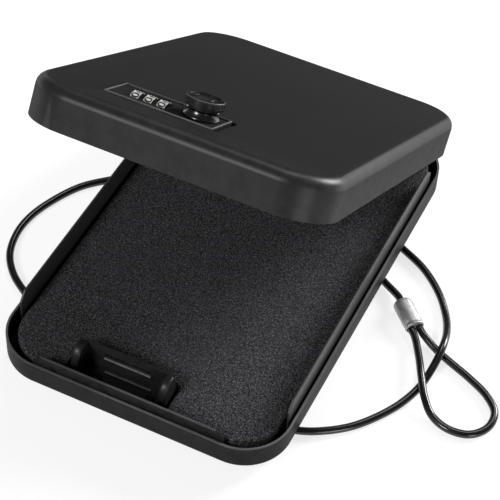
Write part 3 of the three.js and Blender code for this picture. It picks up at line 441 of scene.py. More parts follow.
def vinyl_finish(name, tint):
    """Glossy vinyl over twisted strands: slow waves in its shine and a little dust."""
    finish = Finish(name)
    waves = finish.noise(5 * MM, 2.0)
    dust = finish.ramp(finish.noise(0.7 * MM, 2.0), 0.66, 0.74)
    base = finish.mixed(dust * 0.3, tint, shade(tint, 5.0))
    finish.bump(waves, 0.05 * MM, 0.35)
    return finish.paint(base, 0.16 + 0.12 * waves, Specular_IOR_Level=0.6)


def label_finish(name, tint, roughness=0.42):
    """Printed plastic, a little dirty."""
    finish = Finish(name)
    dirt = finish.noise(1.6 * MM, 3.0)
    base = finish.mixed(finish.ramp(dirt, 0.45, 0.8) * 0.35, tint, shade(tint, 0.62))
    finish.bump(dirt, 0.02 * MM, 0.4)
    return finish.paint(base, roughness + 0.1 * dirt)


# Work on one mesh at a time

def only(piece):
    """The piece becomes the one that is selected and active."""
    bpy.ops.object.select_all(action="DESELECT")
    piece.select_set(True)
    bpy.context.view_layer.objects.active = piece


def open_for_edit(piece, kind="FACE"):
    only(piece)
    bpy.ops.object.mode_set(mode="EDIT")
    bpy.ops.mesh.select_mode(type=kind)
    bpy.ops.mesh.select_all(action="DESELECT")


def close_edit():
    bpy.ops.object.mode_set(mode="OBJECT")


def pick(piece, kind, test):
    """Selects the faces, edges or vertices that pass the test, and nothing else."""
    bpy.ops.mesh.select_mode(type=kind)
    bpy.ops.mesh.select_all(action="DESELECT")
    mesh = bmesh.from_edit_mesh(piece.data)
    parts = {"FACE": mesh.faces, "EDGE": mesh.edges, "VERT": mesh.verts}[kind]
    for part in parts:
        if test(part):
            part.select_set(True)
    mesh.select_flush_mode()
    bmesh.update_edit_mesh(piece.data)


def inset(thickness, depth=0, each=False):
    """Insets the selected faces by so many millimetres, together or each by itself."""
    bpy.ops.mesh.inset(thickness=thickness * MM, depth=depth * MM, use_individual=each)


def face_outwards():
    """Turns every face of the piece in hand to look outwards."""
    bpy.ops.mesh.select_all(action="SELECT")
    bpy.ops.mesh.normals_make_consistent(inside=False)


def upright(edge):
    """Whether an edge stands upright, or nearly so."""
    first, second = edge.verts
    return abs((first.co - second.co).normalized().z) > 0.9


def linked(name, data):
    """A new object for the data, in the scene."""
    piece = bpy.data.objects.new(name, data)
    bpy.context.scene.collection.objects.link(piece)
    return piece


def started(name):
    """The primitive that was just added, named and with its place in its mesh."""
    piece = bpy.context.active_object
    piece.name = name
    piece.data.name = name
    bpy.ops.object.transform_apply(location=True, rotation=True, scale=True)
    return piece


def settle(piece, matrix):
    """Moves a piece drawn at the origin to its place and keeps that place in its mesh."""
    piece.matrix_world = matrix @ piece.matrix_world
    only(piece)
    bpy.ops.object.transform_apply(location=True, rotation=True, scale=True)
    return piece


def finish_modifier(piece, kind, **settings):
    only(piece)
    modifier = piece.modifiers.new(kind.title(), kind)
    for key, value in settings.items():
        setattr(modifier, key, value)
    bpy.ops.object.modifier_apply(modifier=modifier.name)


def smooth(piece, angle=35):
    only(piece)
    bpy.ops.object.shade_smooth_by_angle(angle=math.radians(angle))
    finish_modifier(piece, "WEIGHTED_NORMAL", keep_sharp=True)


def soften(piece, width, segments=2, angle=35):
    """Rounds the sharp edges of a piece and shades the rest evenly."""
    only(piece)
    bpy.ops.object.shade_smooth()
    finish_modifier(piece, "BEVEL", width=width, segments=segments, limit_method="ANGLE",
                    angle_limit=math.radians(angle), use_clamp_overlap=True)
    smooth(piece, 50)


def cut_with(piece, tool, operation="DIFFERENCE"):
    finish_modifier(piece, "BOOLEAN", operation=operation, object=tool, solver="EXACT")
    bpy.data.objects.remove(tool)


def joined(name, pieces):
    bpy.ops.object.select_all(action="DESELECT")
    for piece in pieces:
        piece.select_set(True)
    bpy.context.view_layer.objects.active = pieces[0]
    bpy.ops.object.join()
    pieces[0].name = name
    return pieces[0]


def coated(piece, *materials):
    piece.data.materials.clear()
    for material in materials:
        piece.data.materials.append(material)


def hand_over(piece, body, node):
    """The piece rides on its body and stands for its node, whose CAD part is hidden."""
    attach(piece, body)
    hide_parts(node)


def set_copies(piece, name, places, body, node):
    """Copies with their own meshes go to the places, and the piece itself is taken away."""
    for number, place in enumerate(places, 1):
        copy = linked(f"{name}_{number}", piece.data.copy())
        settle(copy, place)
        hand_over(copy, body.format(number), f"{node}_{number}")
    bpy.data.objects.remove(piece)


def block(name, low, high):
    """Box between two corners in millimetres."""
    middle = [(a + b) / 2 * MM for a, b in zip(low, high)]
    bpy.ops.mesh.primitive_cube_add(size=1, location=middle)
    bpy.context.active_object.scale = [(b - a) * MM for a, b in zip(low, high)]
    return started(name)


def turned(name, profile, sides=48, hollow=False):
    """Piece turned about the upright axis: a ring is drawn out and resized from level to level."""
    radius, level = profile[0]
    bpy.ops.mesh.primitive_circle_add(vertices=sides, radius=radius * MM,
                                      location=(0, 0, level * MM))
    piece = started(name)
    open_for_edit(piece, "EDGE")
    bpy.ops.mesh.select_all(action="SELECT")
    for next_radius, next_level in profile[1:]:
        bpy.ops.mesh.extrude_edges_move(
            TRANSFORM_OT_translate={"value": (0, 0, (next_level - level) * MM)})
        ratio = next_radius / radius
        bpy.ops.transform.resize(value=(ratio, ratio, 1),
                                 center_override=(0, 0, next_level * MM))
        radius, level = next_radius, next_level
    bpy.ops.mesh.select_all(action="SELECT")
    if hollow:
        bpy.ops.mesh.remove_doubles(threshold=SAME_POINT)
    else:
        bpy.ops.mesh.fill_holes(sides=0)
    face_outwards()
    close_edit()
    return piece


def dressed(node, width, segments=2):
    """A merged copy of a CAD node with its sharp edges rounded."""
    piece = linked(f"{node}_dressed", frame["nodes"][node].data.copy())
    only(piece)
    bpy.ops.mesh.customdata_custom_splitnormals_clear()
    open_for_edit(piece)
    bpy.ops.mesh.select_all(action="SELECT")
    bpy.ops.mesh.remove_doubles(threshold=SAME_POINT)
    bpy.ops.mesh.dissolve_limited(angle_limit=math.radians(0.5))
    close_edit()
    soften(piece, width, segments)
    return piece


def finishes():
    """The materials, made once from the settings and found again by name."""
    if bpy.data.materials.get("powder_coat") is None:
        scene = bpy.context.scene
        shell, lock, foam, cable = (scene.safe_shell, scene.safe_lock, scene.safe_foam,
                                    scene.safe_cable)
        up, lid_up = (0, 0, 1), tuple(LID.to_3x3() @ Vector((0, 0, 1)))
        coat_finish("powder_coat", shell.coat, shell.grain, 0.35, 0.38, lid_up, 0.94, 0.45, 0.6)
        # Painted shade: the tray takes the lid's powder coat at 0.6 of its colour, darker for how
        # light falls on it
        coat_finish("tray_coat_with_painted_shade", shade(shell.coat, 0.6), shell.grain, 0.42, 0.10, up, 0.3, 0.35,
                    rim=TRAY_RIM * MM)
        # Painted shade: the front strip takes the strip paint at 0.6 of its colour, as its front
        # face shows darker; it and the side strips get a painted highlight line above their rims
        coat_finish("front_strip_paint_with_painted_shade", shade(shell.strip, 0.6), shell.grain, 0.42, 0.04, up,
                    0.0, 0.0, rim=FRONT_STRIP_RIM * MM)
        coat_finish("strip_paint", shell.strip, shell.grain, 0.40, 0.12, up, 0.0, 0.45,
                    rim=SIDE_STRIP_RIM * MM)
        metal_finish("plated_steel", shell.steel, 0.26, 2.2 * MM, 0.02 * MM)
        metal_finish("black_steel", shade(shell.steel, 0.12), 0.45, 2.2 * MM, 0.02 * MM)
        rubber_finish("rubber", shell.rubber)
        plastic_finish("lock_plastic", lock.plastic, 0.34)
        plastic_finish("knob_plastic", lock.plastic, 0.34, 0.5)
        plastic_finish("keeper_plastic", lock.keeper, 0.36, 0.5)
        # Painted highlight: the lock's plastic made six times lighter, laid on the rim of the lock's
        # face, the knob's top edge and the keeper's ribs for the light lines along their edges
        plastic_finish("painted_highlight_plastic", shade(lock.plastic, 6.0), 0.3)
        gloss_finish("collar_gloss", lock.gloss, 0.16)
        label_finish("wheel_label", lock.label)
        label_finish("wheel_ink", lock.ink, 0.5)
        foam_finish("open_cell_foam", foam.dark, foam.light, foam.cell)
        vinyl_finish("cable_vinyl", cable.vinyl)
        metal_finish("crimped_aluminium", cable.aluminium, 0.46, 1.3 * MM, 0.06 * MM, 45.0)
    return bpy.data.materials


def catmull_rom(points):
    """Handles of a smooth curve through the points, spaced by the root of their distances."""
    spots = [Vector(p) for p in points]
    spots = [2 * spots[0] - spots[1], *spots, 2 * spots[-1] - spots[-2]]
    handles = []
    for i in range(1, len(spots) - 1):
        before, here, after = spots[i - 1], spots[i], spots[i + 1]
        first = math.sqrt((here - before).length)
        second = math.sqrt((after - here).length)
        pull = ((here - before) / first - (after - before) / (first + second)
                + (after - here) / second)
        handles.append((here - pull * first / 3, here, here + pull * second / 3))
    return handles


def cable(name, points, diameter):
    """One open spline through the points, in metres, with a round section."""
    curve = bpy.data.curves.new(name, "CURVE")
    curve.dimensions = "3D"
    curve.bevel_depth = diameter / 2
    curve.bevel_resolution = 5
    curve.resolution_u = 8
    curve.use_fill_caps = True
    spline = curve.splines.new("BEZIER")
    handles = catmull_rom(points)
    spline.bezier_points.add(len(handles) - 1)
    for point, (left, middle, right) in zip(spline.bezier_points, handles):
        point.handle_left_type = point.handle_right_type = "FREE"
        point.co = middle
        point.handle_left = left
        point.handle_right = right
    return linked(name, curve)


def route(points):
    """Points of a route in metres; one without a height lies on the ground."""
    return [Vector(p if len(p) == 3 else (*p, CABLE_GROUND)) * MM for p in points]


class SAFE_OT_camera(bpy.types.Operator):
    """Adds the camera at the place from which the safe is seen"""

    bl_idname = "safe.camera"
    bl_label = "Camera"

    def execute(self, context):
        turn = Matrix.Rotation(math.radians(CAMERA_TURN), 3, "Z")
        tilt = math.radians(CAMERA_TILT)
        back = turn @ Vector((0, -math.cos(tilt), math.sin(tilt)))
        right = turn @ Vector((1, 0, 0))
        up = back.cross(right)
        roll = math.radians(CAMERA_ROLL)
        leaning_right = math.cos(roll) * right + math.sin(roll) * up
        leaning_up = math.cos(roll) * up - math.sin(roll) * right
        axes = Matrix((leaning_right, leaning_up, back)).transposed()
        place = (axes @ Vector(CAMERA_PLACE) + Vector((0, 0, TRAY_BOTTOM))) * MM
        data = bpy.data.cameras.new("camera")
        data.sensor_width = 36
        data.lens = CAMERA_FOCUS * data.sensor_width / PICTURE_WIDTH
        data.clip_start = 0.05
        camera = linked("camera", data)
        camera.matrix_world = Matrix.Translation(TRAY.to_translation() + place) @ axes.to_4x4()
        context.scene.camera = camera
        return {"FINISHED"}


class SAFE_OT_cable(bpy.types.Operator):
    """Adds the tether cable, its eye, its two crimped sleeves and the bush in the tray"""

    bl_idname = "safe.cable"
    bl_label = "Tether cable"

    def execute(self, context):
        settings = context.scene.safe_cable
        materials = finishes()
        side = Vector((-FERRULE_ALONG.y, FERRULE_ALONG.x, 0))
        into, lead, gap, sag = 1.2 * MM, 4 * MM, 0.3 * MM, Vector((0, 0, 0.4 * MM))
        ferrule_end = FERRULE_TOP + FERRULE_ALONG * FERRULE_LENGTH * MM

        start = FERRULE_TOP - FERRULE_ALONG * (gap - into)
        run_lead = FERRULE_TOP - FERRULE_ALONG * (gap + lead) - sag
        run_points = [TRAY @ p for p in reversed([start, run_lead, *route(RUN_ROUTE)])]
        run = cable("cable_run_vinyl", run_points, settings.thickness)

        legs = []
        for sign in (-1, 1):
            leg = ferrule_end + side * (sign * LEG_SPREAD * MM)
            legs.append((leg + FERRULE_ALONG * (gap - into), leg + FERRULE_ALONG * (gap + lead)))
        loop_points = [TRAY @ p for p in [*legs[0], *route(LOOP_ROUTE), *reversed(legs[1])]]
        loop = cable("cable_eye_vinyl", loop_points, settings.thickness)
        for piece in (run, loop):
            coated(piece, materials["cable_vinyl"])

        sleeve = self.ferrule(ferrule_end, side)
        stop = self.stop()
        for piece in (sleeve, stop):
            coated(piece, materials["crimped_aluminium"])
        bush = self.bush()
        coated(bush, materials["rubber"])
        for piece, slot, node in (
            (run, "vinyl", "cable_run"), (loop, "vinyl", "cable_loop"),
            (sleeve, "aluminium", "cable_ferrule"), (stop, "aluminium", "cable_stop"),
            (bush, "rubber", "cable_grommet"),
        ):
            hand_over(piece, "tray", node)
        return {"FINISHED"}

    def ferrule(self, end, side):
        """Oval sleeve, pressed flatter, with a curled rim and holes for the cable"""
        half = FERRULE_LENGTH / 2
        piece = turned("ferrule_body", [
            (4.0, -half), (4.7, -half + 0.05), (5.1, -half + 0.3), (5.35, -half + 0.8),
            (5.35, -half + 1.3), (5.1, -half + 1.8), (4.95, -half + 2.2), (5.1, -half + 2.7),
            (5.3, -half + 3.4), (5.38, -3), (5.38, 3), (5.4, half - 3.0), (5.35, half - 2.0),
            (5.2, half - 1.2), (4.9, half - 0.6), (4.3, half - 0.15), (3.6, half),
        ], 56)
        settle(piece, Matrix.Diagonal((1, 4.45 / 5.4, 1, 1)))
        open_for_edit(piece)
        pick(piece, "FACE", lambda f: abs(f.calc_center_median().z) < 7 * MM
             and abs(f.calc_center_median().x) < 2.2 * MM)
        bpy.ops.transform.resize(value=(1, 0.97, 1), center_override=(0, 0, 0))
        close_edit()
        for x, level in ((0, half), (-LEG_SPREAD, -half), (LEG_SPREAD, -half)):
            bpy.ops.mesh.primitive_cylinder_add(vertices=32, radius=2.35 * MM, depth=3 * MM,
                                                location=(x * MM, 0, level * MM))
            cut_with(piece, started("hole"))
        soften(piece, 0.2 * MM, 2, 40)
        middle = (FERRULE_TOP + end) / 2
        axes = Matrix((side, Vector((0, 0, 1)), -FERRULE_ALONG)).transposed().to_4x4()
        return settle(piece, TRAY @ Matrix.Translation(middle) @ axes)

    def stop(self):
        """Round sleeve with three pressed rings on the inner end of the cable"""
        profile = [(2.6, -5.5), (3.9, -5.5), (4.2, -5.1)]
        for ring in (-3.2, 0, 3.2):
            profile += [(4.2, ring - 0.8), (3.8, ring - 0.4), (3.8, ring + 0.4), (4.2, ring + 0.8)]
        profile += [(4.2, 5.1), (3.9, 5.5), (2.6, 5.5), (2.4, 4.6)]
        piece = turned("stop_sleeve", profile, 36)
        smooth(piece)
        return settle(piece, self.through_wall(STOP_MIDDLE))

    def bush(self):
        """Rubber bush with a soft flange on each side of the tray's wall"""
        inner, outer = 119.7, 124.1
        piece = turned("bush_rubber", [
            (2.4, inner), (4.7, inner), (5.1, inner + 0.3), (5.2, inner + 0.8),
            (5.1, inner + 1.3), (4.2, inner + 1.3), (4.2, outer - 1.3), (5.1, outer - 1.3),
            (5.2, outer - 0.8), (5.1, outer - 0.3), (4.7, outer), (2.4, outer), (2.4, inner),
        ], 36, hollow=True)
        smooth(piece)
        return settle(piece, self.through_wall(0))

    def through_wall(self, y):
        """Where an upright piece goes to lie along the cable's hole in the back wall"""
        return (TRAY @ Matrix.Translation(Vector((0, y, CABLE_HOLE)) * MM)
                @ Matrix.Rotation(math.radians(-90), 4, "X"))


class SAFE_OT_tray(bpy.types.Operator):
    """Dresses the tray, its guard strips and its feet"""

    bl_idname = "safe.tray"
    bl_label = "Tray"

    def execute(self, context):
        settings = context.scene.safe_shell
        materials = finishes()
        tray = dressed("tray_shell", settings.edge)
        coated(tray, materials["tray_coat_with_painted_shade"])
        hand_over(tray, "tray", "tray_shell")
        for place in ("front", "right", "left"):
            node = f"guard_strip_{place}"
            strip = dressed(node, settings.edge)
            paint = "front_strip_paint_with_painted_shade" if place == "front" else "strip_paint"
            coated(strip, materials[paint])
            hand_over(strip, "tray", node)
        foot = self.foot()
        coated(foot, materials["rubber"])
        places = [TRAY @ Matrix.Translation((x * MM, y * MM, 0)) for x, y in FOOT_PLACES]
        set_copies(foot, "foot_rubber", places, "tray", "foot")
        return {"FINISHED"}

    def foot(self):
        """Round foot with grip rings under it and a stem with a head"""
        piece = turned("foot", [
            (1.6, 0.5), (2.0, 0), (2.8, 0), (3.2, 0.5), (3.6, 0.5), (4.0, 0), (4.8, 0),
            (5.2, 0.5), (5.6, 0.5), (5.9, 0), (6.3, 0), (6.8, 0.3), (7.0, 1.0), (7.0, 5.0),
            (6.8, 5.5), (6.3, 5.7), (2.6, 5.7), (2.6, 7.5), (4.2, 7.5), (4.0, 8.0), (3.2, 8.7),
        ], 40)
        smooth(piece)
        return piece


class SAFE_OT_foam(bpy.types.Operator):
    """Adds the foam pad on the floor of the tray"""

    bl_idname = "safe.foam"
    bl_label = "Foam pad"

    def execute(self, context):
        settings = context.scene.safe_foam
        pad = block("foam_lining", *FOAM_CORNERS)
        open_for_edit(pad)
        pick(pad, "EDGE", upright)
        bpy.ops.mesh.bevel(offset=FOAM_ROUNDING * MM, segments=14, profile=0.5)
        close_edit()
        room = block("keeper_room", *KEEPER_ROOM)
        open_for_edit(room)
        pick(room, "EDGE", upright)
        bpy.ops.mesh.bevel(offset=2 * MM, segments=4, profile=0.5)
        close_edit()
        cut_with(pad, room)
        cut_with(pad, block("sleeve_room", *SLEEVE_ROOM))
        finish_modifier(pad, "REMESH", mode="VOXEL", voxel_size=settings.voxel,
                        use_smooth_shade=True)
        finish_modifier(pad, "SMOOTH", factor=0.5, iterations=3)
        for name, size, strength, middle in (
            ("foam_waves", 16 * MM, settings.wave, 0.5),
            ("foam_pores", 2.2 * MM, settings.wave * 0.6, 0.6),
        ):
            clouds = bpy.data.textures.new(name, "CLOUDS")
            clouds.noise_scale = size
            finish_modifier(pad, "DISPLACE", texture=clouds, texture_coords="LOCAL",
                            strength=strength, mid_level=middle)
        settle(pad, TRAY)
        coated(pad, finishes()["open_cell_foam"])
        hand_over(pad, "tray", "foam_pad")
        return {"FINISHED"}


class SAFE_OT_keeper(bpy.types.Operator):
    """Dresses the latch keeper and its rivets"""

    bl_idname = "safe.keeper"
    bl_label = "Latch keeper"

    def execute(self, context):
        materials = finishes()
        keeper = dressed("latch_keeper", 0.25 * MM)
        ribs = []
        for top in KEEPER_RIB_TOPS:
            rib = block("rib", (KEEPER_RIB_LEFT, KEEPER_RIB_FRONT, top - 1.0),
                        (KEEPER_RIB_RIGHT, KEEPER_RIB_BACK, top))
            finish_modifier(rib, "BEVEL", width=0.4 * MM, segments=3)
            # The ribs get the lighter plastic: a painted highlight along their edges
            coated(rib, materials["painted_highlight_plastic"])
            ribs.append(settle(rib, TRAY))
        coated(keeper, materials["keeper_plastic"])
        keeper = joined("keeper_black", [keeper, *ribs])
        hand_over(keeper, "tray", "latch_keeper")
        rivet = turned("rivet", [
            (1.2, 4.8), (2.2, 4.9), (2.7, 5.3), (2.8, 5.7), (1.5, 5.7), (1.5, 9.0), (2.8, 9.0),
            (2.7, 9.35), (2.2, 9.75), (1.2, 9.9),
        ], 28)
        smooth(rivet)
        coated(rivet, materials["black_steel"])
        places = [TRAY @ Matrix.Translation((x * MM, y * MM, 0)) for x, y in RIVET_PLACES]
        set_copies(rivet, "rivet_steel", places, "tray", "keeper_rivet")
        return {"FINISHED"}


class SAFE_OT_lid(bpy.types.Operator):
    """Dresses the lid shell"""

    bl_idname = "safe.lid"
    bl_label = "Lid"

    def execute(self, context):
        lid = dressed("lid_shell", context.scene.safe_shell.edge)
        coated(lid, finishes()["powder_coat"])
        hand_over(lid, "lid", "lid_shell")
        return {"FINISHED"}


class SAFE_OT_lock(bpy.types.Operator):
    """Dresses the lock's face, its case, the bolt, the lever and the small parts inside"""

    bl_idname = "safe.lock"
    bl_label = "Lock"

    def execute(self, context):
        materials = finishes()
        plastic, steel = ("plastic", "lock_plastic"), ("steel", "plated_steel")
        rows = [
            ("lock_plate", "lid", plastic, 0.25),
            ("lock_case", "lid", plastic, 0.2),
            ("case_cover", "lid", plastic, 0.3),
            ("bolt_slide", "bolt", steel, 0.15),
            ("code_reset_lever", "lever", steel, 0.15),
            ("detent_spring", "lid", steel, 0.08),
            ("spindle_clip", "knob", steel, 0.1),
            ("knob_spindle", "knob", steel, 0.15),
            ("dial_axle", "lid", steel, 0.15),
            ("code_disc_1", "wheel_1", steel, 0.08),
            ("code_disc_2", "wheel_2", steel, 0.08),
            ("code_disc_3", "wheel_3", steel, 0.08),
        ]
        for node, body, (slot, material), edge in rows:
            piece = dressed(node, edge * MM)
            coated(piece, materials[material])
            if node == "lock_plate":
                rim = self.rim()
                # The rim gets the lighter plastic: a painted highlight along its edges
                coated(rim, materials["painted_highlight_plastic"])
                piece = joined("lock_face", [piece, rim])
            hand_over(piece, body, node)
        self.screws(materials["plated_steel"])
        return {"FINISHED"}

    def rim(self):
        """Low rim along the outline of the lock's face"""
        bpy.ops.mesh.primitive_plane_add(size=1, location=(
            (PLATE_LEFT + PLATE_RIGHT) / 2 * MM, (PLATE_FRONT + PLATE_BACK) / 2 * MM,
            (PLATE_TOP - 0.2) * MM))
        bpy.context.active_object.scale = (
            (PLATE_RIGHT - PLATE_LEFT) * MM, (PLATE_BACK - PLATE_FRONT) * MM, 1)
        piece = started("rim")
        open_for_edit(piece)
        bpy.ops.mesh.select_all(action="SELECT")
        inset(0.9)
        bpy.ops.mesh.delete(type="FACE")
        bpy.ops.mesh.select_all(action="SELECT")
        bpy.ops.mesh.extrude_region_move(TRANSFORM_OT_translate={"value": (0, 0, 1.1 * MM)})
        face_outwards()
        close_edit()
        soften(piece, 0.42 * MM, 4)
        return settle(piece, LID)

    def screws(self, material):
        """Small pan-head screws with a cross in the head, at the corners of the lock's face"""
        top, tip = LID_TOP - 5.1, LID_TOP - 1.0
        screw = turned("screw", [
            (0.9, top - 1.2), (1.3, top - 1.1), (1.6, top - 0.7), (1.6, top), (1.0, top),
            (1.0, tip - 0.3), (0.7, tip),
        ], 28)
        for turn in (0, 90):
            arm = block("cross", (-1.0, -0.2, top - 1.6), (1.0, 0.2, top - 0.6))
            settle(arm, Matrix.Rotation(math.radians(turn), 4, "Z"))
            cut_with(screw, arm)
        smooth(screw, 40)
        coated(screw, material)
        places = [LID @ Matrix.Translation((x * MM, y * MM, 0))
                  for y in (PLATE_FRONT + SCREW_INSET, PLATE_BACK - SCREW_INSET)
                  for x in (PLATE_LEFT + SCREW_INSET, PLATE_RIGHT - SCREW_INSET)]
        set_copies(screw, "screw_steel", places, "lid", "case_screw")


class SAFE_OT_wheels(bpy.types.Operator):
    """Adds the three number wheels"""

    bl_idname = "safe.wheels"
    bl_label = "Number wheels"

    def execute(self, context):
        settings = context.scene.safe_lock
        materials = finishes()
        drum = self.drum(settings)
        numbers = self.numbers(settings)
        coated(drum, materials["lock_plastic"], materials["wheel_label"])
        reach = settings.wheel_radius * 0.8
        for face in drum.data.polygons:
            middle = face.center
            outer = abs(face.normal.z) < 0.5 and math.hypot(middle.x, middle.y) > reach
            face.material_index = 1 if outer else 0
        coated(numbers, materials["wheel_ink"])
        wheel = joined("wheel", [drum, numbers])
        quarter = Matrix.Rotation(math.radians(90), 4, "Y")
        read = Matrix.Rotation(math.radians(180 + WHEEL_READING_ANGLE), 4, "Z")
        places = [LID @ Matrix.Translation(Vector(place) * MM) @ quarter @ read
                  for place in WHEEL_PLACES]
        set_copies(wheel, "number_wheel", places, "wheel_{}", "dial_wheel")
        return {"FINISHED"}

    def drum(self, settings):
        """Drum with ten faces, a notch between each two, softened rims and a bore"""
        radius = settings.wheel_radius
        bpy.ops.mesh.primitive_cylinder_add(vertices=60, radius=radius,
                                            depth=settings.wheel_width)
        piece = started("drum")
        open_for_edit(piece, "VERT")

        def in_notch(vertex):
            turn = math.degrees(math.atan2(vertex.co.y, vertex.co.x)) % FIGURE_STEP
            return abs(turn - FIGURE_STEP / 2) < 1

        pick(piece, "VERT", in_notch)
        ratio = 1 - 0.5 * MM / radius
        bpy.ops.transform.resize(value=(ratio, ratio, 1), center_override=(0, 0, 0))
        pick(piece, "FACE", lambda f: abs(f.normal.z) > 0.9)
        inset(0.25)
        inset(0.9, -0.25)
        inset(3.7)
        bpy.ops.mesh.bridge_edge_loops()
        face_outwards()
        close_edit()
        soften(piece, 0.1 * MM, 2, 30)
        return piece

    def numbers(self, settings):
        """The figures 0 to 9, drawn flat, cut into narrow strips and wound round the drum"""
        radius, widening, strip = settings.wheel_radius, 1.25, 0.32
        made = []
        for figure in range(10):
            bpy.ops.object.text_add(location=(0, 0, 0))
            text = bpy.context.active_object
            text.data.body = str(figure)
            text.data.size = settings.number_height / 0.7
            text.data.align_x = "CENTER"
            text.data.align_y = "CENTER"
            text.data.resolution_u = 4
            text.data.offset = 0.09 * MM
            text.data.extrude = 0.03 * MM
            bpy.ops.object.convert(target="MESH")
            piece = started(f"figure_{figure}")
            low = min(v.co.y for v in piece.data.vertices)
            high = max(v.co.y for v in piece.data.vertices)
            open_for_edit(piece)
            for i in range(-4, 5):
                bpy.ops.mesh.select_all(action="SELECT")
                bpy.ops.mesh.bisect(plane_co=(i * strip * MM, 0, 0), plane_no=(1, 0, 0))
            close_edit()
            for vertex in piece.data.vertices:
                turn = figure * math.radians(FIGURE_STEP) + widening * vertex.co.x / radius
                out = radius + vertex.co.z
                across = vertex.co.y - (low + high) / 2
                vertex.co = (out * math.cos(turn), out * math.sin(turn), across)
            made.append(piece)
        return joined("figures", made)


class SAFE_OT_knob(bpy.types.Operator):
    """Adds the knob and the glossy collar under it"""

    bl_idname = "safe.knob"
    bl_label = "Knob"

    def execute(self, context):
        settings = context.scene.safe_lock
        materials = finishes()
        centre = LID @ Matrix.Translation(Vector((*KNOB_PLACE, 0)) * MM)
        knob = self.knob(settings.knob_radius)
        settle(knob, centre)
        hand_over(knob, "knob", "knob")
        collar = self.collar()
        settle(collar, centre)
        coated(collar, materials["collar_gloss"])
        hand_over(collar, "lid", "knob_collar")
        return {"FINISHED"}

    def knob(self, radius):
        """Disc with three rows of square knurls, a dished top, a tab and a finger hollow"""
        low, high, columns = KNOB_LOW * MM, KNOB_HIGH * MM, 66
        bpy.ops.mesh.primitive_cylinder_add(vertices=columns, radius=radius, depth=high - low,
                                            location=(0, 0, (low + high) / 2))
        piece = started("knob_grip")
        open_for_edit(piece)
        pick(piece, "FACE", lambda f: f.normal.z > 0.9)
        for width, depth in ((1.2, 0), (0.4, -0.9), (0.5, 0)):
            inset(width, depth)
        pick(piece, "FACE", lambda f: f.normal.z < -0.9)
        for width, depth in ((2.3, 0), (0.02, 1.2), (4.4, 0), (0.02, -2.4)):
            inset(width, depth)
        pick(piece, "EDGE", lambda e: all(
            math.hypot(v.co.x, v.co.y) > radius - 0.05 * MM
            and (v.co.z > high - 0.05 * MM or v.co.z < low + 0.05 * MM) for v in e.verts)
            and abs(e.verts[0].co.z - e.verts[1].co.z) < 0.01 * MM)
        bpy.ops.mesh.bevel(offset=0.35 * MM, segments=3, profile=0.5)
        levels = [level * MM for level in (48.65, 49.75, 50.85, 51.95)]
        for level in levels:
            bpy.ops.mesh.select_all(action="SELECT")
            bpy.ops.mesh.bisect(plane_co=(0, 0, level), plane_no=(0, 0, 1))
        pick(piece, "FACE", lambda f: abs(f.normal.z) < 0.1
             and math.hypot(*f.calc_center_median().xy) > radius - 0.2 * MM
             and levels[0] < f.calc_center_median().z < levels[-1])
        inset(0.13, each=True)
        inset(0.12, 0.2, each=True)
        close_edit()

        dimple = turned("dimple", [(0.6, -2.0), (1.0, -1.0), (1.0, 1.0)], 40)
        settle(dimple, Matrix.Translation((4.1 * MM, 1.6 * MM, 51.8 * MM))
               @ Matrix.Diagonal((1.7, 4.2, 0.5, 1)))
        cut_with(piece, dimple)
        tab = block("tab", (-6.8, -1.2, 51.2), (-4.4, 2.8, 52.35))
        finish_modifier(tab, "BEVEL", width=0.3 * MM, segments=3)
        cut_with(piece, tab, "UNION")
        smooth(piece, 32)
        # The faces of the chamfer round the top edge get the lighter plastic: a painted highlight
        # line
        coated(piece, finishes()["knob_plastic"], finishes()["painted_highlight_plastic"])
        for face in piece.data.polygons:
            middle = face.center
            if middle.z > high - 0.34 * MM and math.hypot(*middle.xy) > radius - 0.33 * MM:
                face.material_index = 1
        return piece

    def collar(self):
        """Flared collar: a thin lip, a hollow cheek and a narrow neck"""
        base, height, lip, foot, neck, bore = 42.6, 3.8, 0.6, 9.0, 7.9, 3.2
        profile = [(bore, base), (foot - 0.15, base), (foot, base + 0.15), (foot, base + lip)]
        steps = 10
        for i in range(1, steps + 1):
            rise = i / steps
            profile.append((neck + (foot - neck) * (1 - rise) ** 2,
                            base + lip + (height - lip - 0.1) * rise))
        profile += [(neck - 0.15, base + height), (bore, base + height), (bore, base)]
        piece = turned("collar_ring", profile, 72, hollow=True)
        smooth(piece, 40)
        return piece


class SAFE_OT_hinges(bpy.types.Operator):
    """Dresses the hinge leaves and adds the pins"""

    bl_idname = "safe.hinges"
    bl_label = "Hinges"

    def execute(self, context):
        materials = finishes()
        for side, x in (("left", -HINGE_MIDDLE), ("right", HINGE_MIDDLE)):
            for body in ("tray", "lid"):
                node = f"hinge_leaf_{body}_{side}"
                leaf = dressed(node, 0.15 * MM)
                coated(leaf, materials["plated_steel"])
                hand_over(leaf, body, node)
            end = HINGE_PIN_HALF
            pin = turned(f"pin_steel_{side}", [
                (0.7, -end), (1.1, 0.2 - end), (1.3, 0.6 - end), (1.3, end - 0.6),
                (1.1, end - 0.2), (0.7, end),
            ], 24)
            smooth(pin)
            settle(pin, Matrix.Translation(HINGE + Vector((x * MM, 0, 0)))
                   @ Matrix.Rotation(math.radians(90), 4, "Y"))
            coated(pin, materials["plated_steel"])
            hand_over(pin, "tray", f"hinge_pin_{side}")
        return {"FINISHED"}


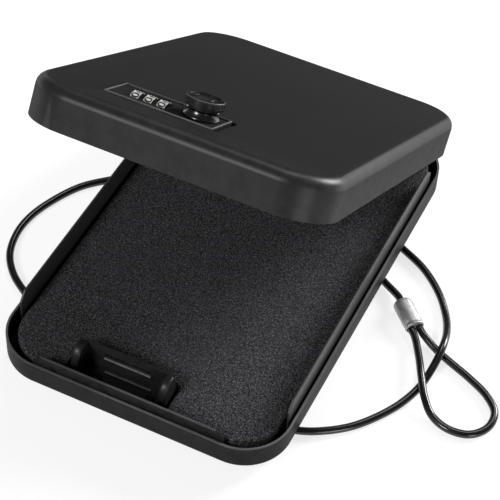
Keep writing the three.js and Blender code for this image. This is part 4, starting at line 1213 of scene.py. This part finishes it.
class SAFE_OT_stage(bpy.types.Operator):
    """Adds the pale floor, the soft lights and the even sky"""

    bl_idname = "safe.stage"
    bl_label = "Stage"

    def execute(self, context):
        settings = context.scene.safe_stage
        bpy.ops.object.select_all(action="DESELECT")
        bpy.ops.mesh.primitive_plane_add(size=40, location=(0, 0, 0))
        floor = started("floor")
        coated(floor, self.white_floor(settings.floor))
        for name, direction, size, power in (
            ("front_light", (-0.30, -0.75, 0.59), 0.6, settings.front),
            ("back_light", (0.49, 0.80, 0.36), 0.8, settings.back),
            ("top_light", (-0.04, 0.53, 0.84), 0.7, settings.top),
            ("side_light", (0.75, -0.65, 0.14), 0.7, settings.side),
        ):
            self.lamp(name, direction, size, power)
        self.sky(context, settings.sky)
        context.scene.view_settings.view_transform = "Standard"
        return {"FINISHED"}

    def white_floor(self, tint):
        """Pale floor that shows as white to the camera and to glossy and clear surfaces"""
        finish = Finish("floor_white")
        rays = finish.node("ShaderNodeLightPath")
        seen = (Value(finish.tree, rays.outputs["Is Camera Ray"])
                + Value(finish.tree, rays.outputs["Is Glossy Ray"])
                + Value(finish.tree, rays.outputs["Is Transmission Ray"])) > 0.5
        glow = finish.mixed(seen, (0, 0, 0), (0.74, 0.74, 0.74))
        finish.tree.links.new(glow, finish.shader.inputs["Emission Color"])
        finish.shader.inputs["Emission Strength"].default_value = 1
        return finish.paint(None, None, Base_Color=(*tint, 1), Roughness=0.9)

    def lamp(self, name, direction, size, power):
        """Round soft light, at one distance from the safe and aimed at it"""
        data = bpy.data.lights.new(name, "AREA")
        data.shape = "DISK"
        data.size = size
        data.energy = power
        lamp = linked(name, data)
        away = Vector(direction).normalized()
        lamp.location = LAMP_AIM + LAMP_DISTANCE * away
        lamp.rotation_euler = (-away).to_track_quat("-Z", "Y").to_euler()

    def sky(self, context, strength):
        world = bpy.data.worlds.new("even_sky")
        context.scene.world = world
        world.use_nodes = True
        background = world.node_tree.nodes["Background"]
        background.inputs["Color"].default_value = (1, 1, 1, 1)
        background.inputs["Strength"].default_value = strength


OPERATORS = [
    SAFE_OT_camera, SAFE_OT_cable, SAFE_OT_tray, SAFE_OT_foam, SAFE_OT_keeper, SAFE_OT_lid,
    SAFE_OT_lock, SAFE_OT_wheels, SAFE_OT_knob, SAFE_OT_hinges, SAFE_OT_stage,
]
SETTINGS = {
    "safe_shell": SafeShellSettings,
    "safe_foam": SafeFoamSettings,
    "safe_lock": SafeLockSettings,
    "safe_cable": SafeCableSettings,
    "safe_stage": SafeStageSettings,
}


class SAFE_PT_panel(bpy.types.Panel):
    """Lists the settings and the pieces of the safe"""

    bl_idname = "SAFE_PT_panel"
    bl_label = "Portable car safe"
    bl_space_type = "VIEW_3D"
    bl_region_type = "UI"
    bl_category = "Car Safe"

    def draw(self, context):
        for name in SETTINGS:
            box = self.layout.box()
            group = getattr(context.scene, name)
            for key in group.__annotations__:
                box.prop(group, key)
        for operator in OPERATORS:
            self.layout.operator(operator.bl_idname)


def register():
    for name, group in SETTINGS.items():
        bpy.utils.register_class(group)
        setattr(bpy.types.Scene, name, bpy.props.PointerProperty(type=group))
    for operator in OPERATORS:
        bpy.utils.register_class(operator)
    bpy.utils.register_class(SAFE_PT_panel)


def unregister():
    bpy.utils.unregister_class(SAFE_PT_panel)
    for operator in reversed(OPERATORS):
        bpy.utils.unregister_class(operator)
    for name, group in SETTINGS.items():
        delattr(bpy.types.Scene, name)
        bpy.utils.unregister_class(group)


def main():
    register()
    for operator in OPERATORS:
        module, call = operator.bl_idname.split(".")
        getattr(getattr(bpy.ops, module), call)()


if __name__ == "__main__":
    main()
